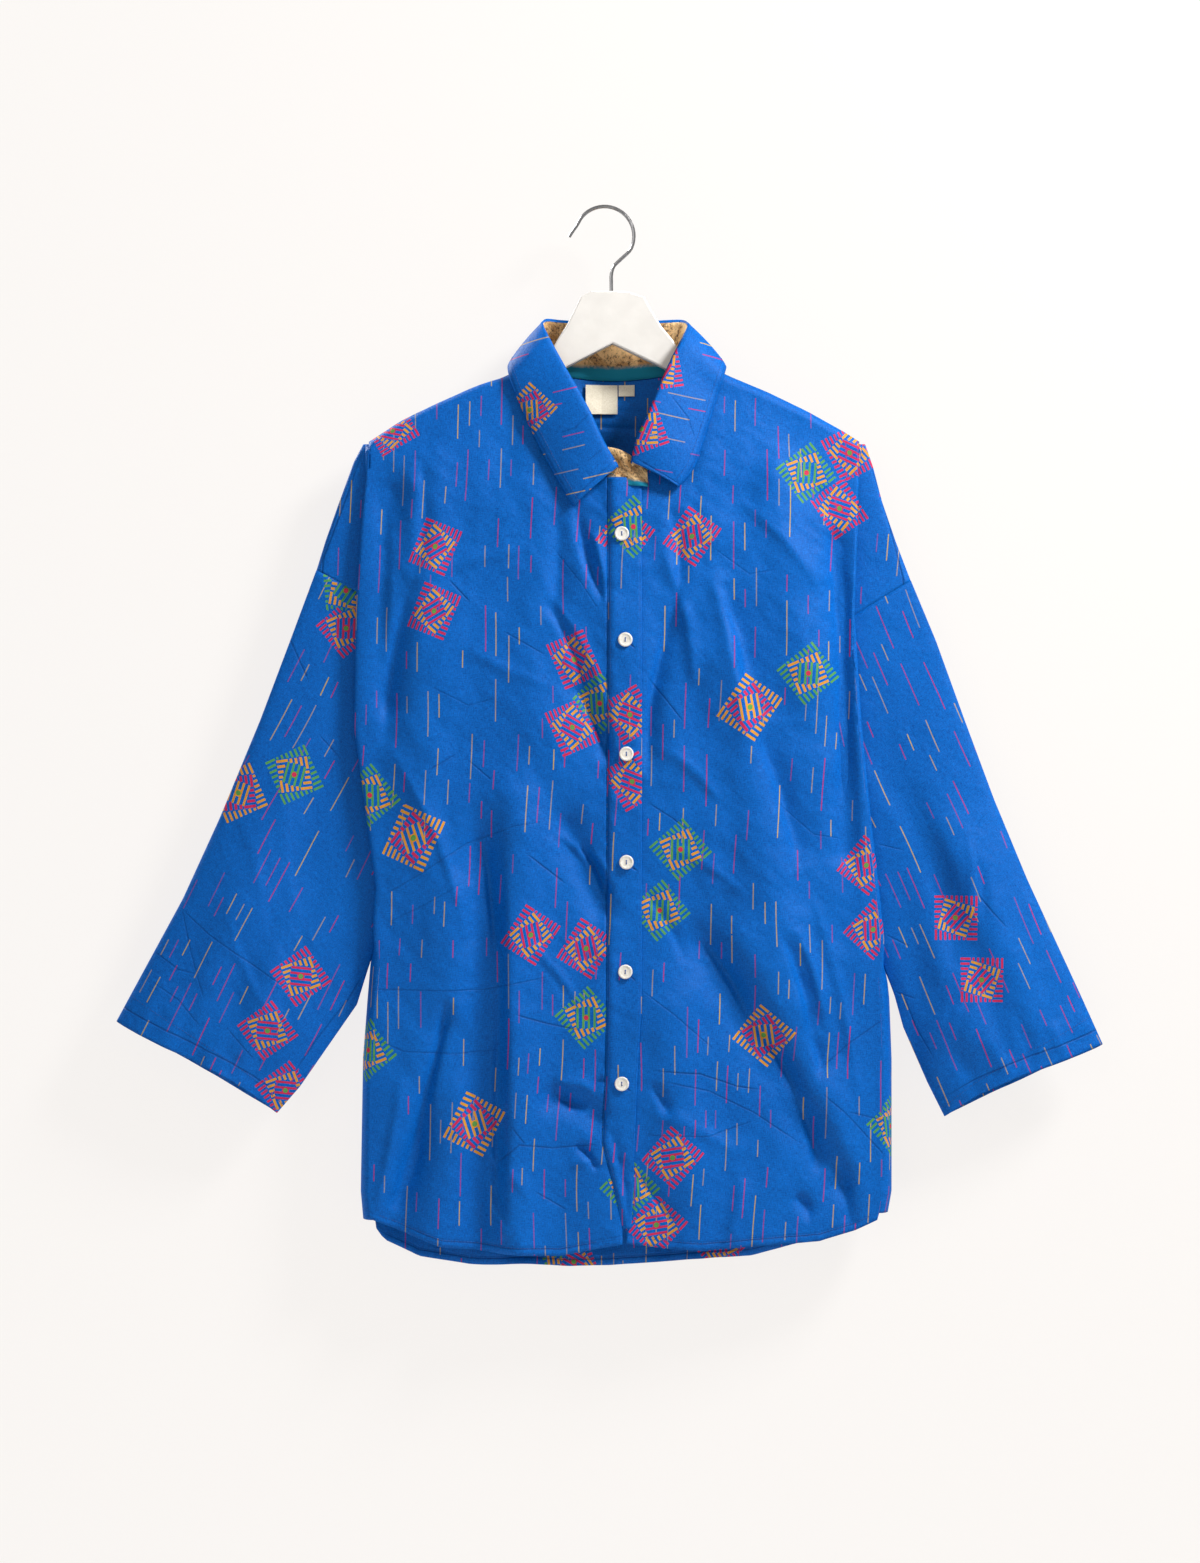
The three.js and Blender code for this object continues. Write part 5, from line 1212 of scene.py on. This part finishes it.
def weaveGroup():
    # warp and weft as two sine fields with slubs, in millimetres; height for the bump and tint for the colour
    inputs = [("U", floatKind, 0.0), ("V", floatKind, 0.0), ("Thread", floatKind, 0.55)]
    group, source, sink = newGroup("weave", inputs, [("Height", floatKind), ("Tint", floatKind)])
    u, v, thread = source.outputs[0], source.outputs[1], source.outputs[2]

    def stretched(su, sv, scale, detail):
        join = group.nodes.new("ShaderNodeCombineXYZ")
        wire(group, times(group, u, su), join.inputs[0])
        wire(group, times(group, v, sv), join.inputs[1])
        return noise(group, join.outputs[0], scale, detail)

    warp = calc(group, "SINE", calc(group, "DIVIDE", times(group, u, math.tau), thread))
    weft = calc(group, "SINE", calc(group, "DIVIDE", times(group, v, math.tau), thread))
    grid = times(group, warp, weft)
    slubUp = stretched(1.6, 0.22, 1.0, 2.0)
    slubAcross = stretched(0.22, 1.6, 1.0, 2.0)
    grain = stretched(0.9, 0.9, 1.0, 3.0)
    slubs = plus(group, slubUp, slubAcross)
    height = plus(group, times(group, grid, 0.25), times(group, slubs, 0.9))
    group.links.new(height, sink.inputs[0])
    tint = plus(group, times(group, slubs, 0.5), times(group, grain, 0.5))
    group.links.new(remap(group, tint, 0.55, 0.95, 0.0, 1.0), sink.inputs[1])
    return group


groups = {"motif": motifGroup(), "dashes": dashGroup(), "weave": weaveGroup()}
print("shader groups made")


def uvParts(tree, layer, scale=1000.0):  # the two parts of a UV layer, in millimetres, and the layer itself
    node = tree.nodes.new("ShaderNodeUVMap")
    node.uv_map = layer
    split = tree.nodes.new("ShaderNodeSeparateXYZ")
    tree.links.new(node.outputs[0], split.inputs[0])
    u, v = (times(tree, part, scale) for part in split.outputs[:2])
    return u, v, node.outputs[0]


def placeGroup(tree, name, *values):
    node = tree.nodes.new("ShaderNodeGroup")
    node.node_tree = groups[name]
    for value, socket in zip(values, node.inputs):
        wire(tree, value, socket)
    return node.outputs


def bumped(tree, height, distance, strength, before=None):
    node = tree.nodes.new("ShaderNodeBump")
    node.inputs["Distance"].default_value = distance
    node.inputs["Strength"].default_value = strength
    tree.links.new(height, node.inputs["Height"])
    if before is not None:
        tree.links.new(before, node.inputs["Normal"])
    return node.outputs[0]


def newMaterial(name, **values):
    material = bpy.data.materials.new(name)
    material.use_nodes = True
    tree = material.node_tree
    shader = tree.nodes["Principled BSDF"]
    for key, value in values.items():
        shader.inputs[key].default_value = value
    return material, tree, shader


printColours = {
    "blueLight": (0.0, 0.15, 0.60, 1), "blueDark": (0.0, 0.065, 0.32, 1),
    "crimson": (0.56, 0.02, 0.08, 1), "green": (0.085, 0.30, 0.07, 1), "gold": (0.66, 0.29, 0.02, 1),
    "dashCrimson": (0.42, 0.012, 0.12, 1), "dashGold": (0.56, 0.38, 0.004, 1),
    # the colour of the dark painted lines: painted shade in creases, seams and turned edges, and the stitch
    # lines
    "stitchAndShadeLine": (0.0, 0.02, 0.12, 1),
}
# width of the painted lines, the strength of their painted shade, and their dip in the bump
stitchAndShadeLine = {"width": 0.0008, "dark": 0.6, "dip": 0.35}


def printedCloth():
    material, tree, shader = newMaterial("printedBlueCloth", **{"Roughness": 0.5, "Specular IOR Level": 0.13})
    u, v = uvParts(tree, "cloth")[:2]
    mx, my = uvParts(tree, "motif")[:2]
    kind = uvParts(tree, "kind", 4.0)[0]
    height, tint = placeGroup(tree, "weave", u, v, 0.55)[:2]
    blotch = tree.nodes.new("ShaderNodeTexCoord").outputs["Object"]
    cloud = noise(tree, blotch, 9.0, 2.0)
    clouded = times(tree, minus(tree, cloud, 0.5), 0.35)
    shade = plus(tree, times(tree, tint, 1.1), clouded)
    blue = blend(tree, shade, printColours["blueDark"], printColours["blueLight"])
    aside = minus(tree, noise(tree, blotch, 5.0, 1.0), 0.5)
    wander = times(tree, aside, dashSize["wander"])
    slanted = minus(tree, u, times(tree, v, dashSize["slant"]))
    dash, crimson = placeGroup(tree, "dashes", plus(tree, slanted, wander), v)[:2]
    dashColour = blend(tree, crimson, printColours["dashGold"], printColours["dashCrimson"])
    ink = remap(tree, tint, 0.0, 0.6, 0.86, 1.0)
    colour = blend(tree, times(tree, dash, ink), blue, dashColour)
    outer, inner, dot = placeGroup(tree, "motif", mx, my)[:3]
    pastCrimson, beforeGold = calc(tree, "GREATER_THAN", kind, 1.0), calc(tree, "LESS_THAN", kind, 2.0)
    isGreen = times(tree, pastCrimson, beforeGold)
    isGold = calc(tree, "GREATER_THAN", kind, 2.0)
    plainColour = blend(tree, isGreen, printColours["crimson"], printColours["green"])
    outerColour = blend(tree, isGold, plainColour, printColours["gold"])
    innerColour = blend(tree, isGold, printColours["gold"], printColours["crimson"])
    dotColour = blend(tree, isGreen, printColours["green"], printColours["crimson"])
    for mask, printed in ((outer, outerColour), (inner, innerColour), (dot, dotColour)):
        colour = blend(tree, times(tree, mask, ink), colour, printed)
    # dark lines painted into the colour: painted shade along creases, seams, turned edges and the collar's
    # edge, and the stitch lines of the hems, cuffs, placket and buttonholes; the same lines also dip the bump
    line, stitchAndShadeStrength = uvParts(tree, "mark", 1.0)[:2]
    narrow = calc(tree, "DIVIDE", line, stitchAndShadeLine["width"])
    falling = calc(tree, "EXPONENT", times(tree, times(tree, narrow, narrow), -1.0))
    pressed = times(tree, falling, stitchAndShadeStrength)
    darkness = times(tree, pressed, stitchAndShadeLine["dark"])
    dark = blend(tree, darkness, colour, printColours["stitchAndShadeLine"])
    tree.links.new(dark, shader.inputs["Base Color"])
    uneven = noise(tree, blotch, 34.0, 3.0, 0.55, 0.3)
    dipped = minus(tree, uneven, times(tree, pressed, stitchAndShadeLine["dip"]))
    soft = bumped(tree, dipped, 0.0035, 0.5)
    tree.links.new(bumped(tree, height, 0.00022, 0.55, soft), shader.inputs["Normal"])
    return material


def batikCloth():
    material, tree, shader = newMaterial("mottledBandCloth", **{"Roughness": 0.75, "Specular IOR Level": 0.25,
                                                                "Sheen Weight": 0.08})
    u, v, vector = uvParts(tree, "cloth")
    height, tint = placeGroup(tree, "weave", u, v, 0.5)[:2]
    patches = noise(tree, vector, 45.0, 4.0, 0.6, 1.2)
    specks = noise(tree, vector, 420.0, 3.0, 0.65, 0.6)
    tan = blend(tree, remap(tree, patches, 0.4, 0.6, 0.0, 1.0), (0.40, 0.20, 0.06, 1), (0.88, 0.60, 0.29, 1))
    dense = remap(tree, patches, 0.5, 0.62, 1.0, 0.15)
    dirt = times(tree, remap(tree, specks, 0.51, 0.59, 0.0, 0.92), dense)
    brown = blend(tree, dirt, tan, (0.035, 0.018, 0.01, 1))
    teal = remap(tree, plus(tree, v, times(tree, patches, 3.0)), 11.0, 14.5, 1.0, 0.0)
    colour = blend(tree, times(tree, tint, 0.18), brown, (0.8, 0.6, 0.42, 1))
    colour = blend(tree, teal, colour, (0.0, 0.21, 0.34, 1))
    tree.links.new(colour, shader.inputs["Base Color"])
    tree.links.new(bumped(tree, height, 0.0002, 0.5), shader.inputs["Normal"])
    return material


def objectNoiseMaterial(name, low, high, scale, detail, bumpDepth, **values):
    material, tree, shader = newMaterial(name, **values)
    place = tree.nodes.new("ShaderNodeTexCoord").outputs["Object"]
    field = noise(tree, place, scale, detail)
    mottled = blend(tree, remap(tree, field, 0.3, 0.7, 0.0, 1.0), low, high)
    tree.links.new(mottled, shader.inputs["Base Color"])
    rough = values.get("Roughness", 0.5)
    tree.links.new(remap(tree, field, 0.3, 0.7, rough * 0.85, rough * 1.15), shader.inputs["Roughness"])
    tree.links.new(bumped(tree, field, bumpDepth, 0.4), shader.inputs["Normal"])
    return material


clothMaterial = printedCloth()
bandMaterial = batikCloth()
labelMaterial = objectNoiseMaterial("creamLabelTape", (0.72, 0.66, 0.52, 1), (0.84, 0.79, 0.66, 1),
                                    900.0, 2.0, 0.0003, **{"Roughness": 0.8})
paintMaterial = objectNoiseMaterial("whitePaintedWood", (0.74, 0.72, 0.69, 1), (0.80, 0.78, 0.75, 1),
                                    60.0, 3.0, 0.0004, **{"Roughness": 0.42, "Specular IOR Level": 0.45})
steelMaterial = objectNoiseMaterial("platedSteel", (0.40, 0.40, 0.41, 1), (0.50, 0.50, 0.51, 1),
                                    220.0, 2.0, 0.0001, **{"Roughness": 0.2, "Metallic": 1.0})
# dark blue thread, also used for the painted shade in the buttons' holes
threadAndHoleShadeMaterial = objectNoiseMaterial("blueThreadAndHoleShade", (0.0, 0.035, 0.19, 1), (0.0, 0.07, 0.33, 1),
                                     2600.0, 2.0, 0.0001, **{"Roughness": 0.6})
pearlFinish = {"Roughness": 0.22, "Specular IOR Level": 0.6, "Coat Weight": 0.4}
pearlMaterial = objectNoiseMaterial("pearlButton", (0.70, 0.66, 0.58, 1), (0.90, 0.88, 0.84, 1),
                                    420.0, 3.0, 0.0002, **pearlFinish)
print("materials made")


def dress(obj, material, slot, *nodes):
    obj.data.materials.append(material)
    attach(obj, "root")
    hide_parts(*nodes)


frontRight = frontPiece("right", 104, frontMotifs)
frontLeft = frontPiece("left", 104, frontMotifs)
back = backPiece(50, backMotifs)
sleeveRight, rightGrid = sleevePiece("right", 52, 130)
sleeveLeft, leftGrid = sleevePiece("left", 52, 130)
leaf, leafGrid = leafPiece(220, 26)
stand = standPiece(220, 14)
placket = placketPiece(16, 260)
for piece, material, slot, node in (
        (frontRight, clothMaterial, "cloth", "front_right"),
        (frontLeft, clothMaterial, "cloth", "front_left"),
        (back, clothMaterial, "cloth", "back"), (sleeveRight, clothMaterial, "cloth", "sleeve_right"),
        (sleeveLeft, clothMaterial, "cloth", "sleeve_left"), (leaf, clothMaterial, "cloth", "collar_leaf"),
        (stand, bandMaterial, "collar_band", "collar_stand"), (placket, clothMaterial, "cloth", "placket")):
    dress(piece, material, slot, node)
clothArea = {}
for piece in (frontRight, frontLeft, back, sleeveRight, sleeveLeft, leaf, stand, placket):
    clothArea[piece.name] = round(sum(face.area for face in piece.data.polygons), 4)
print("cloth pieces made, areas in square metres:", clothArea)

for nodeName, material in (("label_main", labelMaterial), ("label_size", labelMaterial),
                           ("hanger", paintMaterial), ("hook", steelMaterial)):
    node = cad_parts[nodeName]
    node.data.materials.clear()
    node.data.materials.append(material)
for number, (x, z) in enumerate(buttonPlaces, 1):
    button, darkFrom = buttonPiece(number, x, z)
    button.data.materials.append(pearlMaterial)
    button.data.materials.append(threadAndHoleShadeMaterial)
    # the hole cups, dark as painted shade, and the thread take the second material
    darkFaces = np.zeros(len(button.data.polygons), np.int32)
    darkFaces[darkFrom:] = 1
    button.data.polygons.foreach_set("material_index", darkFaces)
    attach(button, "root")
    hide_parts(f"button_{number}")

# Sewing: the placket's line, the hems, the cuffs and the collar's edge
sewn = []
lineZ = np.linspace(-242, -884, 500)
lineX = lookUp(placketEdges, lineZ) + 2.4
onStrip = np.stack([lineX, placketSurface(lineX, lineZ) - 0.6, lineZ], -1)
sewn.append((onStrip, np.tile([0.0, -1.0, 0.0], (len(lineZ), 1))))
for fromX, toX, hem, face in ((-196, -2, frontHem, -1), (34, 236, frontHem, -1), (-194, 234, backHem, 1)):
    hemX = np.linspace(fromX, toX, 400)
    sewn.append(facedLine(hemX, lookUp(hem, hemX) + 6.5, face, 0.4))
for grid, sign in ((rightGrid, 1), (leftGrid, -1)):
    sewn.append(gridLine(grid, -9, sign))
sewn.append(gridLine(leafGrid, -4, 1))
stitches = stitchPiece("sewing", sewn)
stitches.data.materials.append(threadAndHoleShadeMaterial)
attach(stitches, "root")
print("buttons and", len(stitches.data.polygons) // 12, "stitches made")

# Camera: straight on, with the photo's frame 1200 by 1563 covering view["height"] at the shirt
camera = bpy.data.objects.new("camera", bpy.data.cameras.new("camera"))
bpy.context.collection.objects.link(camera)
camera.data.sensor_fit = "VERTICAL"
camera.data.sensor_height = view["sensor"]
camera.data.lens = view["sensor"] * view["distance"] / (view["height"] * mm)
camera.location = (view["middleX"] * mm, -view["distance"] + view["planeY"], view["middleZ"] * mm)
camera.rotation_euler = (math.pi / 2, 0, 0)
camera.data.clip_end = 50
bpy.context.scene.camera = camera


def areaLight(name, place, target, size, power, colour):
    light = bpy.data.objects.new(name, bpy.data.lights.new(name, "AREA"))
    light.data.shape = "DISK"
    light.data.size = size
    light.data.energy = power
    light.data.color = colour
    light.location = place
    away = np.array(place) - np.array(target)
    flat = math.hypot(away[0], away[1])
    light.rotation_euler = (math.atan2(flat, away[2]), 0, math.atan2(away[0], -away[1]) if flat else 0)
    bpy.context.collection.objects.link(light)


middle = (0.0, 0.0, -0.5)
areaLight("keyLight", (1.35, -0.88, 1.02), middle, 0.6, 65, (1.0, 0.985, 0.96))
areaLight("fillLight", (-1.2, -2.8, 0.6), middle, 2.4, 11, (1.0, 0.98, 0.96))
areaLight("backLight", (-1.5, 1.1, 1.0), middle, 0.8, 52, (1.0, 0.985, 0.965))

world = bpy.data.worlds.new("studio")
bpy.context.scene.world = world
world.use_nodes = True
world.node_tree.nodes["Background"].inputs[0].default_value = (1.0, 0.985, 0.965, 1)
world.node_tree.nodes["Background"].inputs[1].default_value = 0.34
bpy.context.scene.view_settings.view_transform = "Standard"


def plane(name, corners, material):
    mesh = bpy.data.meshes.new(name)
    mesh.from_pydata(corners, [], [(0, 1, 2, 3)])
    obj = bpy.data.objects.new(name, mesh)
    bpy.context.collection.objects.link(obj)
    obj.data.materials.append(material)
    return obj


def wallMaterial():
    # seen only from its front and only by the camera, so that the shirt's back stays in view
    # and in its own light
    finish = {"Base Color": (0.12, 0.117, 0.114, 1), "Roughness": 0.9,
              "Emission Color": (1.0, 0.97, 0.945, 1), "Emission Strength": 0.835}
    material, tree, shader = newMaterial("paleWall", **finish)
    clear = tree.nodes.new("ShaderNodeBsdfTransparent")
    choose = tree.nodes.new("ShaderNodeMixShader")
    behind = tree.nodes.new("ShaderNodeNewGeometry").outputs["Backfacing"]
    seen = tree.nodes.new("ShaderNodeLightPath").outputs["Is Camera Ray"]
    inFront = minus(tree, 1.0, behind)
    tree.links.new(minus(tree, 1.0, times(tree, seen, inFront)), choose.inputs[0])
    tree.links.new(shader.outputs[0], choose.inputs[1])
    tree.links.new(clear.outputs[0], choose.inputs[2])
    tree.links.new(choose.outputs[0], tree.nodes["Material Output"].inputs[0])
    return material


stage = {"wallY": 0.036, "halfWidth": 3.2, "floorZ": -1.55, "top": 2.0, "front": -4.0, "behind": 3.5}
wide, wallY, low, top = stage["halfWidth"], stage["wallY"], stage["floorZ"], stage["top"]
wallCorners = [(-wide, wallY, low), (wide, wallY, low), (wide, wallY, top), (-wide, wallY, top)]
plane("wall", wallCorners, wallMaterial())
floorMaterial = objectNoiseMaterial("paleFloor", (0.74, 0.74, 0.73, 1), (0.78, 0.78, 0.77, 1),
                                    3.0, 2.0, 0.001, **{"Roughness": 0.85})
near, far = stage["front"], stage["behind"]
plane("floor", [(-wide, near, low), (wide, near, low), (wide, far, low), (-wide, far, low)], floorMaterial)
print("camera, lights and stage made")
